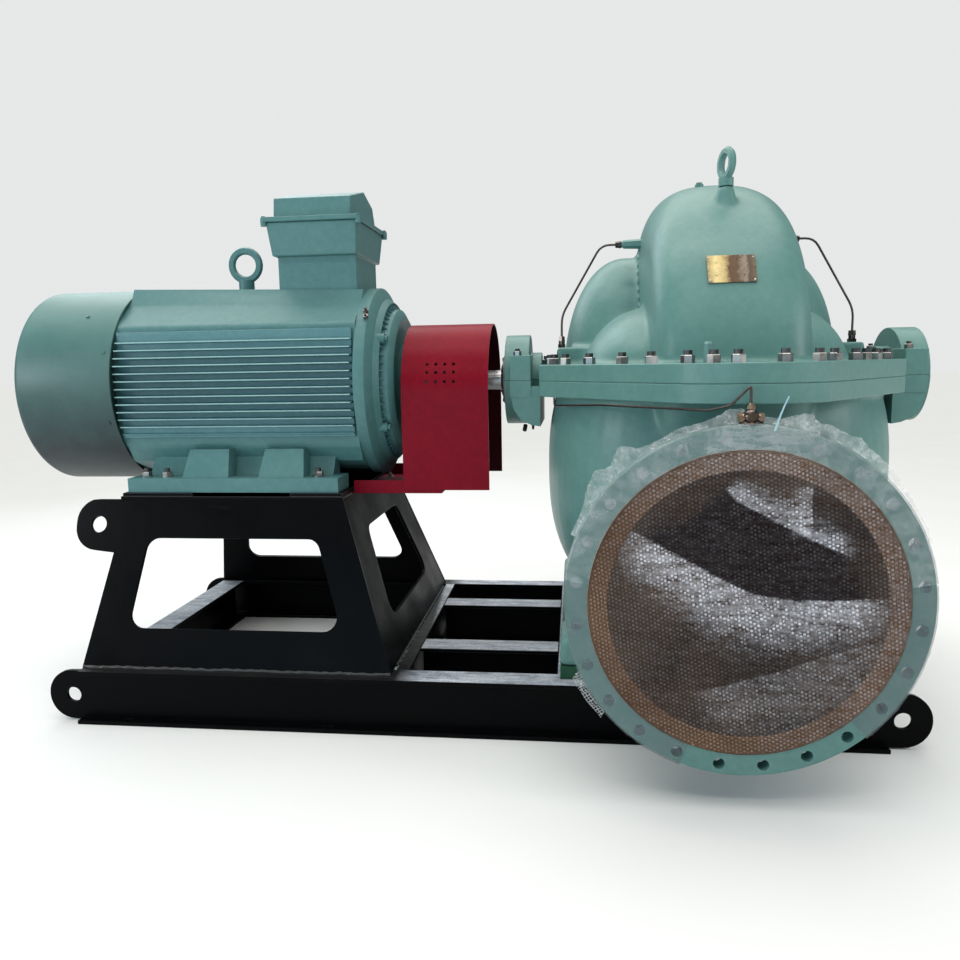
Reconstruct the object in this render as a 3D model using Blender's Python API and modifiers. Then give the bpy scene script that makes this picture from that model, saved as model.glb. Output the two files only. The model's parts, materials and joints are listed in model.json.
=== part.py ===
"""Split case pump with its motor, coupling guard and base frame.

X runs along the shaft from the motor's fan cover to the pump's outer bearing, Y away from the
suction side and Z up. The origin is on the floor, under the middle of the whole set.
"""

import math

import bmesh
import bpy
from mathutils import Matrix, Vector

# Gap that touching pieces keep
GAP = 0.0003

# Shaft and pump centre
SHAFT_Z = 1.080
PUMP_X = 0.839
SHAFT_R = 0.035
SHAFT_END = 1.488
RUNNING_GAP = 0.0003
CLEARANCE = 0.006

# Base frame
BASE_H = 0.172
BASE_LEFT = -1.218
BASE_RIGHT = 1.298
RAIL_OUT_Y = 0.610
RAIL_TOP_OUT_Y = 0.590
RAIL_IN_Y = 0.470
WEB_Y = 0.572
STEEL = 0.012
LUG_R = 0.083
LUG_HOLE_R = 0.025
LUG_Z = 0.088
LUG_LEFT_X = -1.244
LUG_RIGHT_X = 1.339
BEAM_W = 0.100
BEAM_LEFT_X = -0.130
BEAM_RIGHT_X = 0.385
STRINGER_Y = 0.215
ANCHOR_R = 0.012
ANCHOR_XS = (-1.05, -0.38, 0.62, 1.10)

# Motor stand
STAND_TOP = 0.703
DECK_T = 0.0105
PAD_XS = ((-1.138, -0.890), (-0.550, -0.372))
PAD_OUT_Y = 0.376
STAND_LOW_X = (-1.223, -0.186)
STAND_HIGH_X = (-1.138, -0.368)
STAND_LOW_Y = 0.550
STAND_HIGH_Y = 0.380
WINDOW_LOW_Z = 0.292
WINDOW_HIGH_Z = 0.576
WINDOW_MARGIN = 0.125
WINDOW_CORNER = 0.045
STAND_LUG = (-1.214, 0.619)
STAND_LUG_R = 0.080
STAND_LUG_HOLE_R = 0.028
END_WINDOW = ((-0.325, 0.287), (0.325, 0.287), (0.225, 0.585), (-0.225, 0.585))

# Motor
FOOT_BOTTOM = SHAFT_Z - 0.355
FOOT_TOP = SHAFT_Z - 0.307
FOOT_X = (-1.123, -0.387)
FOOT_OUT_Y = 0.365
FOOT_IN_Y = 0.235
FAN_X = (-1.528, -1.171)
FAN_R = 0.348
FRAME_X = (-1.190, -0.333)
FIN_COUNT = 14
FIN_TOP = 0.175
FIN_BOTTOM = -0.163
FIN_ROOT_Y = 0.292
FIN_SKIN = 0.012
FIN_TIP_Y = 0.333
FIN_TIP_R = 0.341
FIN_T = 0.007
FIN_X = (-1.1665, -0.343)
MOTOR_TOP = 0.345
COWL_R = 0.338
FOOT_WEB_XS = ((-0.936, -0.772), (-0.668, -0.509))
MOTOR_EYE_X = -0.810
LID_STEP = 0.030
SHIELD_END = -0.215
SHIELD_R = 0.334
MOTOR_SHAFT_R = 0.050
BOX_NECK_X = (-0.636, -0.356)
BOX_X = (-0.655, -0.338)
BOX_NECK_Y = 0.140
BOX_Y = 0.190
BOX_LID_Y = 0.202
BOX_NECK_TOP = SHAFT_Z + 0.447
BOX_TOP = SHAFT_Z + 0.547

# Coupling and guard
COUPLING_X = -0.045
COUPLING_R = 0.125
GUARD_X = (-0.192, 0.103)
GUARD_R = 0.245
GUARD_TOP = SHAFT_Z + 0.200
GUARD_BOTTOM = SHAFT_Z - 0.365
GUARD_T = 0.004

# Pump casing
FLANGE_HALF_X = 0.564
FLANGE_END_Y = 0.290
FLANGE_MID_X = 0.130
FLANGE_MID_Y = 0.885
FLANGE_UP = 0.052
FLANGE_DOWN = 0.050
DOME_X = 0.837
DOME_R = 0.632
DOME_HALF_X = 0.2235
DOME_POWER = (2.55, 1.8)
HUMP_OFFSET = (0.262, 0.235)
HUMP_RADII = (0.228, 0.300, 0.440)
SHOULDER_OFFSET = (0.200, -0.130)
SHOULDER_RADII = (0.225, 0.345, 0.235)
SEAL_PAD_X = (0.400, 0.512)
SEAL_PAD_Y = 0.085
SEAL_PAD_UP = 0.110
BOWL_PLACE = (0.849, 0, 0.780)
BOWL_RADII = (0.551, 0.600, 0.540)
FOOT_PAD_T = 0.040
CASING_FOOT_X = (0.364, 0.494)
CASING_FOOT_TOP = 0.290
NOZZLE_X = 0.808
NOZZLE_Z = 0.538
NOZZLE_FACE_Y = 0.946
SUCTION = {"bore": 0.340, "neck": 0.3585, "rim": 0.445, "pitch": 0.418, "holes": 24}
DISCHARGE = {"bore": 0.300, "neck": 0.322, "rim": 0.390, "pitch": 0.3625, "holes": 20}
FLANGE_HOLE_R = 0.015
FLANGE_T = 0.046
NECK_ROOT_Y = 0.620
FLUSH_Z = SHAFT_Z + 0.460
FLUSH_XS = (0.557, 1.117)
EYE_PLACE = (0.838, -0.350)
EYE_BOSS_TOP = SHAFT_Z + 0.570
EYE_TURN = math.radians(-74)
PLATE_UP = 0.3085
TUBE_R = 0.006
VENT_PLACE = (0.810, -0.923)

# Bearings, outward distances measured from the end of the split flange
BEARING_SEAT = 0.0005
BEARING_REACH = 0.125
EAR_REACH = (0.032, 0.103)
EAR_Y = 0.190
EAR_UP = 0.084
DRUM_START = 0.040
DRUM_R = 0.157
HUB_R = 0.095
BRACKET_SIDE = (
    (0.0, -0.020), (0.1035, -0.020), (0.1025, -0.045), (0.090, -0.098), (0.065, -0.134),
    (0.030, -0.150), (0.0, -0.155),
)

# Paints and metals: colour, roughness, metallic
GREEN = ("green_paint", (0.16, 0.34, 0.31), 0.42, 0.0)
MOTOR_GREEN = ("motor_green_paint", (0.13, 0.31, 0.30), 0.45, 0.0)
BLACK = ("black_paint", (0.012, 0.012, 0.013), 0.30, 0.0)
RED = ("red_paint", (0.42, 0.02, 0.04), 0.40, 0.0)
DARK_GREEN = ("dark_green_pad", (0.02, 0.11, 0.05), 0.60, 0.0)
STEEL_BRIGHT = ("bright_steel", (0.55, 0.55, 0.56), 0.30, 1.0)
STEEL_DARK = ("dark_steel", (0.10, 0.09, 0.08), 0.45, 1.0)
BRASSY = ("brassy_plate", (0.55, 0.45, 0.28), 0.35, 1.0)
WRAP = ("bubble_wrap", (0.22, 0.19, 0.17), 0.35, 0.0)


def start():
    """Empties the scene and makes one collection for the pieces and one for the cutters."""
    for obj in list(bpy.data.objects):
        bpy.data.objects.remove(obj, do_unlink=True)
    for name in ("split_case_pump", "cutters"):
        bpy.context.scene.collection.children.link(bpy.data.collections.new(name))


def paint(finish):
    """Returns the Principled material of one finish, made on first use."""
    name, colour, roughness, metallic = finish
    if name not in bpy.data.materials:
        made = bpy.data.materials.new(name)
        made.use_nodes = True
        shader = made.node_tree.nodes["Principled BSDF"]
        shader.inputs["Base Color"].default_value = (*colour, 1.0)
        shader.inputs["Roughness"].default_value = roughness
        shader.inputs["Metallic"].default_value = metallic
    return bpy.data.materials[name]


def from_bmesh(name, mesh_data, finish=None):
    """Turns a bmesh into an object: a piece with a finish, or a cutter without one."""
    mesh = bpy.data.meshes.new(name)
    mesh_data.to_mesh(mesh)
    mesh_data.free()
    obj = bpy.data.objects.new(name, mesh)
    if finish:
        mesh.materials.append(paint(finish))
        bpy.data.collections["split_case_pump"].objects.link(obj)
    else:
        obj.hide_render = True
        obj.display_type = "WIRE"
        bpy.data.collections["cutters"].objects.link(obj)
    return obj


def box(name, low, high, finish=None):
    """A box between two corners."""
    shape = bmesh.new()
    bmesh.ops.create_cube(shape, size=1.0)
    size = Vector(high) - Vector(low)
    centre = (Vector(high) + Vector(low)) / 2
    bmesh.ops.scale(shape, vec=size, verts=shape.verts)
    obj = from_bmesh(name, shape, finish)
    obj.location = centre
    return obj


def tapered_box(name, low_z, high_z, low, high, finish=None):
    """A block whose lower and upper faces are the rectangles (x0, x1, y0, y1) low and high."""
    shape = bmesh.new()
    bmesh.ops.create_cube(shape, size=1.0)
    for vert in shape.verts:
        x0, x1, y0, y1 = high if vert.co.z > 0 else low
        vert.co.z = high_z if vert.co.z > 0 else low_z
        vert.co.x = x1 if vert.co.x > 0 else x0
        vert.co.y = y1 if vert.co.y > 0 else y0
    return from_bmesh(name, shape, finish)


def axis_turn(axis):
    """Rotation that lays a shape's own Z along the named axis."""
    return {
        "X": Matrix.Rotation(math.pi / 2, 4, "Y"),
        "Y": Matrix.Rotation(-math.pi / 2, 4, "X"),
        "Z": Matrix.Identity(4),
    }[axis]


def cylinder(name, centre, radius, length, axis="Z", sides=32, finish=None, top_radius=None):
    """A cylinder or cone about an axis, with its middle at the centre."""
    shape = bmesh.new()
    end = radius if top_radius is None else top_radius
    bmesh.ops.create_cone(
        shape, cap_ends=True, segments=sides, radius1=radius, radius2=end, depth=length
    )
    obj = from_bmesh(name, shape, finish)
    obj.matrix_world = Matrix.Translation(centre) @ axis_turn(axis)
    return obj


def turned(name, profile, centre, axis, finish=None, sides=48):
    """A profile of (radius, height) points, top to bottom, turned about the axis."""
    mesh = bpy.data.meshes.new(name)
    points = [(radius, 0.0, height) for radius, height in profile]
    edges = [(i, i + 1) for i in range(len(points) - 1)]
    if profile[0][0] > 0:
        edges.append((len(points) - 1, 0))
    mesh.from_pydata(points, edges, [])
    obj = bpy.data.objects.new(name, mesh)
    screw = obj.modifiers.new("turn", "SCREW")
    screw.steps = sides
    screw.render_steps = sides
    screw.use_merge_vertices = True
    screw.merge_threshold = 0.00001
    screw.use_smooth_shade = False
    if finish:
        mesh.materials.append(paint(finish))
        bpy.data.collections["split_case_pump"].objects.link(obj)
    else:
        obj.hide_render = True
        obj.display_type = "WIRE"
        bpy.data.collections["cutters"].objects.link(obj)
    obj.matrix_world = Matrix.Translation(centre) @ axis_turn(axis)
    return obj


def rounded(points, radii, steps=6):
    """Outline through the corner points with an arc of the given radius at each corner."""
    outline = []
    count = len(points)
    for index, (corner, radius) in enumerate(zip(points, radii)):
        here = Vector(corner)
        before = (Vector(points[index - 1]) - here).normalized()
        after = (Vector(points[(index + 1) % count]) - here).normalized()
        if radius <= 0:
            outline.append(tuple(here))
            continue
        half = before.angle(after) / 2
        reach = radius / math.tan(half)
        middle = here + (before + after).normalized() * (radius / math.sin(half))
        first = here + before * reach - middle
        last = here + after * reach - middle
        turn = first.angle_signed(last)
        for step in range(steps + 1):
            angle = -turn * step / steps
            outline.append(tuple(middle + Matrix.Rotation(angle, 2) @ first))
    return outline


def ring_points(centre, radius, sides):
    """Points of a circle."""
    return [
        (
            centre[0] + radius * math.cos(2 * math.pi * k / sides),
            centre[1] + radius * math.sin(2 * math.pi * k / sides),
        )
        for k in range(sides)
    ]


def plate(name, outlines, thickness, frame, finish=None):
    """A flat plate from closed outlines, holes included, laid in the given frame."""
    curve = bpy.data.curves.new(name, "CURVE")
    curve.dimensions = "2D"
    curve.fill_mode = "BOTH"
    curve.extrude = thickness / 2
    for outline in outlines:
        spline = curve.splines.new("POLY")
        spline.points.add(len(outline) - 1)
        for point, (u, v) in zip(spline.points, outline):
            point.co = (u, v, 0.0, 1.0)
        spline.use_cyclic_u = True
    guide = bpy.data.objects.new(name + "_outline", curve)
    bpy.context.scene.collection.objects.link(guide)
    bpy.context.view_layer.update()
    ready = guide.evaluated_get(bpy.context.evaluated_depsgraph_get())
    mesh = bpy.data.meshes.new_from_object(ready)
    bpy.data.objects.remove(guide, do_unlink=True)
    shape = bmesh.new()
    shape.from_mesh(mesh)
    bmesh.ops.remove_doubles(shape, verts=shape.verts, dist=0.00001)
    bmesh.ops.recalc_face_normals(shape, faces=shape.faces)
    obj = from_bmesh(name, shape, finish)
    obj.matrix_world = frame
    return obj


def upright_xz(y):
    """Frame whose plate lies in the XZ plane at y, so outline points are (x, z)."""
    return Matrix.Translation((0, y, 0)) @ Matrix.Rotation(math.pi / 2, 4, "X")


def upright_yz(x):
    """Frame whose plate lies in the YZ plane at x, so outline points are (y, z)."""
    return Matrix.Translation((x, 0, 0)) @ Matrix(
        ((0, 0, 1, 0), (1, 0, 0, 0), (0, 1, 0, 0), (0, 0, 0, 1))
    )


def level(z):
    """Frame whose plate lies level at z, so outline points are (x, y)."""
    return Matrix.Translation((0, 0, z))


def tube(name, points, radius, finish):
    """A round tube along points, as a closed mesh."""
    curve = bpy.data.curves.new(name, "CURVE")
    curve.dimensions = "3D"
    curve.bevel_depth = radius
    curve.bevel_resolution = 2
    curve.use_fill_caps = True
    spline = curve.splines.new("POLY")
    spline.points.add(len(points) - 1)
    for point, place in zip(spline.points, points):
        point.co = (*place, 1.0)
    guide = bpy.data.objects.new(name + "_path", curve)
    bpy.context.scene.collection.objects.link(guide)
    bpy.context.view_layer.update()
    ready = guide.evaluated_get(bpy.context.evaluated_depsgraph_get())
    mesh = bpy.data.meshes.new_from_object(ready)
    bpy.data.objects.remove(guide, do_unlink=True)
    shape = bmesh.new()
    shape.from_mesh(mesh)
    bmesh.ops.remove_doubles(shape, verts=shape.verts, dist=0.00001)
    bmesh.ops.recalc_face_normals(shape, faces=shape.faces)
    return from_bmesh(name, shape, finish)


def softened(points, radius, steps=4):
    """A route whose inner corners are rounded by short arcs."""
    route = [Vector(points[0])]
    for before, here, after in zip(points, points[1:], points[2:]):
        corner = Vector(here)
        start_point = corner + (Vector(before) - corner).normalized() * radius
        end_point = corner + (Vector(after) - corner).normalized() * radius
        for step in range(steps + 1):
            share = step / steps
            route.append(
                start_point * (1 - share) ** 2
                + corner * 2 * share * (1 - share)
                + end_point * share ** 2
            )
    route.append(Vector(points[-1]))
    return [tuple(point) for point in route]


def combine(obj, other, how, solver):
    """Adds a Boolean of another object to a piece."""
    step = obj.modifiers.new(how.lower(), "BOOLEAN")
    step.operation = how
    step.solver = solver
    step.object = other


def join(obj, *others, solver="EXACT"):
    for other in others:
        combine(obj, other, "UNION", solver)


def cut(obj, *others, solver="EXACT"):
    for other in others:
        combine(obj, other, "DIFFERENCE", solver)


def bulb(name, centre, radii, power, across=24, down=16, finish=None):
    """A rounded body: an ellipsoid whose sides swell towards a box as power grows."""
    shape = bmesh.new()
    bmesh.ops.create_uvsphere(shape, u_segments=across, v_segments=down, radius=1.0)
    for vert in shape.verts:
        size = sum(abs(part) ** power for part in vert.co) ** (1 / power)
        vert.co = Vector((part / size * radius for part, radius in zip(vert.co, radii)))
    obj = from_bmesh(name, shape, finish)
    obj.location = centre
    return obj


def base_rail(side, word):
    """One side rail: a channel of web and two flanges whose web ends in round lifting lugs."""
    y = side * WEB_Y
    hole_sides = 24
    web = [
        (LUG_LEFT_X, LUG_Z - LUG_R),
        (LUG_RIGHT_X, LUG_Z - LUG_R),
        (LUG_RIGHT_X + LUG_R, LUG_Z - LUG_R),
        (LUG_RIGHT_X + LUG_R, LUG_Z + LUG_R),
        (LUG_LEFT_X - LUG_R, LUG_Z + LUG_R),
        (LUG_LEFT_X - LUG_R, LUG_Z - LUG_R),
    ]
    outline = rounded(web, (0, 0, LUG_R * 0.98, LUG_R * 0.98, LUG_R * 0.98, LUG_R * 0.98), 8)
    holes = [ring_points((x, LUG_Z), LUG_HOLE_R, hole_sides) for x in (LUG_LEFT_X, LUG_RIGHT_X)]
    rail = plate("base_" + word + "_rail", [outline, *holes], STEEL, upright_xz(y), BLACK)
    sides = sorted((side * RAIL_TOP_OUT_Y, side * RAIL_IN_Y))
    top = box(word + "_top", (BASE_LEFT, sides[0], BASE_H - STEEL), (BASE_RIGHT, sides[1], BASE_H))
    sides = sorted((side * RAIL_OUT_Y, side * RAIL_IN_Y))
    foot = box(word + "_foot", (BASE_LEFT, sides[0], 0), (BASE_RIGHT, sides[1], STEEL))
    join(rail, top, foot)
    for index, x in enumerate(ANCHOR_XS):
        place = (x, side * (RAIL_OUT_Y - 0.016), STEEL / 2)
        cut(rail, cylinder(f"{word}_anchor_{index}", place, ANCHOR_R, 0.05, sides=16))
    return rail


def beam(name, x, y_range, along="Y"):
    """An I beam between the rails, or along X between two cross beams."""
    half = BEAM_W / 2
    inner = STEEL / 2
    profile = [
        (-half, 0), (half, 0), (half, STEEL), (inner, STEEL), (inner, BASE_H - STEEL),
        (half, BASE_H - STEEL), (half, BASE_H), (-half, BASE_H), (-half, BASE_H - STEEL),
        (-inner, BASE_H - STEEL), (-inner, STEEL), (-half, STEEL),
    ]
    length = y_range[1] - y_range[0]
    middle = (y_range[0] + y_range[1]) / 2
    if along == "Y":
        frame = Matrix.Translation((x, middle, 0)) @ Matrix.Rotation(math.pi / 2, 4, "X")
    else:
        frame = Matrix.Translation((middle, x, 0)) @ Matrix(
            ((0, 0, 1, 0), (1, 0, 0, 0), (0, 1, 0, 0), (0, 0, 0, 1))
        )
    return plate(name, [profile], length, frame, BLACK)


def base_frame():
    base_rail(-1, "front")
    base_rail(1, "rear")
    reach = RAIL_IN_Y - GAP
    half = BEAM_W / 2
    beam("base_left_end_beam", BASE_LEFT + half, (-reach, reach))
    beam("base_right_end_beam", BASE_RIGHT - half, (-reach, reach))
    beam("base_left_cross_beam", BEAM_LEFT_X, (-reach, reach))
    beam("base_right_cross_beam", BEAM_RIGHT_X, (-reach, reach))
    between = (BEAM_LEFT_X + half + GAP, BEAM_RIGHT_X - half - GAP)
    beam("base_front_stringer", -STRINGER_Y, between, along="X")
    beam("base_rear_stringer", STRINGER_Y, between, along="X")


def stand_at(z, low, high):
    """A stand dimension at height z, between its values at the bottom and the top."""
    share = (z - BASE_H) / (STAND_TOP - BASE_H)
    return low + (high - low) * share


def stand_span(z, margin):
    """Left and right X of the stand at height z, drawn in by a margin."""
    left = stand_at(z, STAND_LOW_X[0], STAND_HIGH_X[0]) + margin
    right = stand_at(z, STAND_LOW_X[1], STAND_HIGH_X[1]) - margin
    return left, right


def stand_side(side, word):
    """Sloping front or rear plate of the motor stand, with its window and lifting lug."""
    slope = math.atan2(STAND_LOW_Y - STAND_HIGH_Y, STAND_TOP - BASE_H)
    stretch = 1 / math.cos(slope)

    def up(z):
        return (z - BASE_H) * stretch

    lug_x, lug_z = STAND_LUG
    corners = [
        (STAND_LOW_X[0], up(BASE_H)),
        (STAND_LOW_X[1], up(BASE_H)),
        (STAND_HIGH_X[1], up(STAND_TOP)),
        (lug_x - STAND_LUG_R, up(STAND_TOP)),
        (lug_x - STAND_LUG_R, up(lug_z) - STAND_LUG_R),
        (stand_at(lug_z, STAND_LOW_X[0], STAND_HIGH_X[0]), up(lug_z) - STAND_LUG_R * 1.2),
    ]
    outline = rounded(corners, (0, 0, 0, STAND_LUG_R * 0.98, STAND_LUG_R * 0.98, 0), 8)
    window_low = stand_span(WINDOW_LOW_Z, WINDOW_MARGIN)
    window_high = stand_span(WINDOW_HIGH_Z, WINDOW_MARGIN)
    window = [
        (window_low[0], up(WINDOW_LOW_Z)), (window_low[1], up(WINDOW_LOW_Z)),
        (window_high[1], up(WINDOW_HIGH_Z)), (window_high[0], up(WINDOW_HIGH_Z)),
    ]
    window = rounded(window, (WINDOW_CORNER,) * 4, 6)
    hole = ring_points((lug_x, up(lug_z)), STAND_LUG_HOLE_R, 24)
    lift = GAP + STEEL * math.sin(slope)
    if side < 0:
        frame = (
            Matrix.Translation((0, -STAND_LOW_Y, BASE_H + lift))
            @ Matrix.Rotation(math.pi / 2 - slope, 4, "X")
            @ Matrix.Translation((0, 0, -STEEL / 2))
        )
    else:
        frame = (
            Matrix.Translation((0, STAND_LOW_Y, BASE_H + lift))
            @ Matrix.Rotation(math.pi / 2 + slope, 4, "X")
            @ Matrix.Translation((0, 0, STEEL / 2))
        )
    piece = plate("stand_" + word + "_plate", [outline, window, hole], STEEL, frame, BLACK)
    trim = box(word + "_trim", (-2, -1, STAND_TOP), (0, 1, STAND_TOP + 0.1))
    cut(piece, trim)


def stand_end():
    """Sloping right end plate of the motor stand, set between the front and rear plates."""
    slope = math.cos(math.atan2(STAND_LOW_Y - STAND_HIGH_Y, STAND_TOP - BASE_H))
    inset = STEEL / slope + 2 * GAP
    low_y = STAND_LOW_Y - inset
    high_y = STAND_HIGH_Y - inset
    low = (STAND_LOW_X[1] - STEEL, STAND_LOW_X[1])
    high = (STAND_HIGH_X[1] - STEEL, STAND_HIGH_X[1])
    piece = tapered_box(
        "stand_right_plate", BASE_H + GAP, STAND_TOP,
        (*low, -low_y, low_y), (*high, -high_y, high_y), BLACK,
    )
    hole = rounded(END_WINDOW, (WINDOW_CORNER,) * 4, 4)
    cut(piece, plate("end_window", [hole], 0.4, upright_yz((low[0] + high[0]) / 2)))


def motor_stand():
    stand_side(-1, "front")
    stand_side(1, "rear")
    stand_end()
    deck_low = STAND_TOP + GAP
    deck_high = deck_low + DECK_T
    deck = box(
        "stand_top_plate", (STAND_HIGH_X[0] - 0.006, -STAND_HIGH_Y, deck_low),
        (STAND_HIGH_X[1], STAND_HIGH_Y, deck_high), BLACK,
    )
    for side, word in ((-1, "front"), (1, "rear")):
        edges = sorted((side * PAD_OUT_Y, side * (FOOT_IN_Y - 0.030)))
        for (x0, x1), end in zip(PAD_XS, ("left", "right")):
            pad = box(
                f"{word}_{end}_motor_pad", (x0, edges[0], deck_low + DECK_T / 2),
                (x1, edges[1], FOOT_BOTTOM - GAP),
            )
            join(deck, pad)


def mirrored(half, z_shift):
    """Closed (y, z) outline from its half on the +Y side, top to bottom, raised by z_shift."""
    outline = [(y, z_shift + z) for y, z in half]
    return outline + [(-y, z_shift + z) for y, z in reversed(half)]


def fin_panel(side, word):
    """The cooling fins on one side of the motor frame, with the skin they stand on."""
    root = FIN_ROOT_Y
    points = [(root - FIN_SKIN + GAP, FIN_TOP + 0.010), (root, FIN_TOP + 0.010)]
    pitch = (FIN_TOP - FIN_BOTTOM) / (FIN_COUNT - 1)
    for index in range(FIN_COUNT):
        z = FIN_TOP - index * pitch
        tip = min(FIN_TIP_Y, math.sqrt(FIN_TIP_R ** 2 - z ** 2))
        points += [
            (root, z + FIN_T / 2), (tip, z + FIN_T / 3),
            (tip, z - FIN_T / 3), (root, z - FIN_T / 2),
        ]
    points += [(root, FIN_BOTTOM - 0.012), (root - FIN_SKIN + GAP, FIN_BOTTOM - 0.012)]
    outline = [(side * y, SHAFT_Z + z) for y, z in points]
    length = FIN_X[1] - FIN_X[0]
    frame = upright_yz(sum(FIN_X) / 2)
    return plate("motor_" + word + "_fins", [outline], length, frame, MOTOR_GREEN)


def motor_frame():
    """The motor's body between the fan cover and the drive end shield, with its feet."""
    wall = FIN_ROOT_Y - FIN_SKIN
    half = [
        (0.150, MOTOR_TOP), (0.185, 0.275), (0.272, 0.208), (wall, 0.190), (wall, -0.180),
        (0.265, -0.215), (0.235, -0.262), (0.150, -0.300),
    ]
    middle = sum(FRAME_X) / 2
    length = FRAME_X[1] - FRAME_X[0]
    frame = plate(
        "motor_frame", [mirrored(half, SHAFT_Z)], length, upright_yz(middle), MOTOR_GREEN
    )
    reach = 0.030
    cowl_room = turned(
        "cowl_room",
        [(COWL_R, reach), (0.60, reach), (0.60, -reach), (COWL_R, -reach)],
        (FAN_X[1] + 0.004 - reach, 0, SHAFT_Z), "X",
    )
    cut(frame, cowl_room)
    for side in (-1, 1):
        edges = sorted((side * FOOT_OUT_Y, side * FOOT_IN_Y))
        foot = box(
            f"foot_{side}", (FOOT_X[0], edges[0], FOOT_BOTTOM), (FOOT_X[1], edges[1], FOOT_TOP)
        )
        join(frame, foot)
        for index, (x0, x1) in enumerate(FOOT_WEB_XS):
            low = sorted((side * 0.350, side * 0.180))
            high = sorted((side * 0.300, side * 0.180))
            web = tapered_box(
                f"web_{side}_{index}", FOOT_TOP - 0.004, SHAFT_Z - 0.215,
                (x0, x1, *low), (x0 + 0.012, x1 - 0.012, *high),
            )
            join(frame, web)
        wall_x = (FOOT_X[0] + 0.04, FOOT_X[1] - 0.04)
        side_wall = tapered_box(
            f"wall_{side}", FOOT_TOP - 0.004, SHAFT_Z - 0.240,
            (*wall_x, *sorted((side * 0.285, side * 0.200))),
            (*wall_x, *sorted((side * 0.240, side * 0.200))),
        )
        join(frame, side_wall)


def terminal_box():
    """The flared terminal box on the motor and its sloping lid."""
    neck_low = SHAFT_Z + MOTOR_TOP + GAP
    terminal = box(
        "terminal_box", (BOX_NECK_X[0], -BOX_NECK_Y, neck_low), (BOX_NECK_X[1], BOX_NECK_Y, BOX_NECK_TOP),
        MOTOR_GREEN,
    )
    flare = tapered_box(
        "terminal_flare", BOX_NECK_TOP - 0.010, BOX_TOP,
        (BOX_X[0] + 0.010, BOX_X[1] - 0.010, -BOX_Y + 0.022, BOX_Y - 0.022),
        (BOX_X[0], BOX_X[1], -BOX_Y, BOX_Y),
    )
    join(terminal, flare)
    lid_low = BOX_TOP + GAP
    lid_side = [
        (-BOX_LID_Y, lid_low), (BOX_LID_Y, lid_low), (BOX_LID_Y, lid_low + 0.016),
        (0.178, lid_low + 0.022), (0.140, SHAFT_Z + 0.640), (0.020, SHAFT_Z + 0.675),
        (-0.165, SHAFT_Z + 0.629), (-0.175, lid_low + 0.016), (-BOX_LID_Y, lid_low + 0.016),
    ]
    lid_x = (BOX_X[0] - 0.006, BOX_X[1] + 0.006)
    lid = plate(
        "terminal_lid", [lid_side], lid_x[1] - lid_x[0], upright_yz(sum(lid_x) / 2), MOTOR_GREEN
    )
    steps = ((lid_x[0] - 0.1, lid_x[0] + LID_STEP), (lid_x[1] - LID_STEP, lid_x[1] + 0.1))
    for index, (x0, x1) in enumerate(steps):
        cut(lid, box(f"lid_step_{index}", (x0, -0.3, lid_low + 0.016), (x1, 0.3, lid_low + 0.3)))


def motor():
    fin_panel(-1, "front")
    fin_panel(1, "rear")
    motor_frame()
    terminal_box()
    eye = turned(
        "motor_lifting_eye",
        [(0.070, 0.013), (0.076, 0.0), (0.070, -0.013), (0.050, -0.013), (0.044, 0.0), (0.050, 0.013)],
        (MOTOR_EYE_X, 0, SHAFT_Z + 0.455), "Y", MOTOR_GREEN, 24,
    )
    stem = cylinder(
        "motor_eye_stem", (MOTOR_EYE_X, 0, SHAFT_Z + MOTOR_TOP + GAP + 0.025), 0.032, 0.050, "Z", 24
    )
    join(eye, stem)
    length = FAN_X[1] - FAN_X[0]
    turned(
        "fan_cover",
        [
            (0.0, FRAME_X[0] - GAP - FAN_X[0]), (0.343, FRAME_X[0] - GAP - FAN_X[0]), (0.343, length),
            (FAN_R, length), (FAN_R, 0.020), (FAN_R - 0.020, 0.0), (0.0, 0.0),
        ],
        (FAN_X[0], 0, SHAFT_Z), "X", MOTOR_GREEN, 48,
    )
    shield_start = FRAME_X[1] + GAP
    depth = SHIELD_END - shield_start
    bore = MOTOR_SHAFT_R + RUNNING_GAP
    turned(
        "motor_end_shield",
        [
            (bore, depth), (0.120, depth), (0.135, depth - 0.012), (0.190, depth - 0.022),
            (0.225, depth - 0.004), (0.262, depth - 0.022), (0.292, depth - 0.060),
            (SHIELD_R, depth - 0.080), (SHIELD_R, 0.0), (bore, 0.0),
        ],
        (shield_start, 0, SHAFT_Z), "X", MOTOR_GREEN, 48,
    )


def rotor():
    """Motor shaft, two coupling halves and pump shaft, which turn as one body."""
    shield_start = FRAME_X[1] + GAP
    face_gap = 0.002
    motor_end = COUPLING_X - face_gap
    cylinder(
        "motor_shaft", ((shield_start + 0.002 + motor_end - 0.010) / 2, 0, SHAFT_Z), MOTOR_SHAFT_R,
        motor_end - 0.010 - shield_start - 0.002, "X", 48, STEEL_BRIGHT,
    )
    pump_start = COUPLING_X + face_gap + 0.010
    cylinder(
        "pump_shaft", ((pump_start + SHAFT_END) / 2, 0, SHAFT_Z), SHAFT_R, SHAFT_END - pump_start,
        "X", 48, STEEL_BRIGHT,
    )
    hub_len = 0.095
    rim_len = 0.032
    for word, direction, shaft_r in (("motor", -1, MOTOR_SHAFT_R), ("pump", 1, SHAFT_R)):
        hub_r = shaft_r * 1.55
        profile = [
            (shaft_r + GAP, hub_len), (hub_r, hub_len), (hub_r, rim_len), (COUPLING_R, rim_len),
            (COUPLING_R, 0.0), (shaft_r + GAP, 0.0),
        ]
        if direction < 0:
            profile = [(radius, -height) for radius, height in reversed(profile)]
        turned(
            word + "_coupling_half", profile,
            (COUPLING_X + direction * face_gap, 0, SHAFT_Z), "X", STEEL_DARK, 32,
        )


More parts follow.
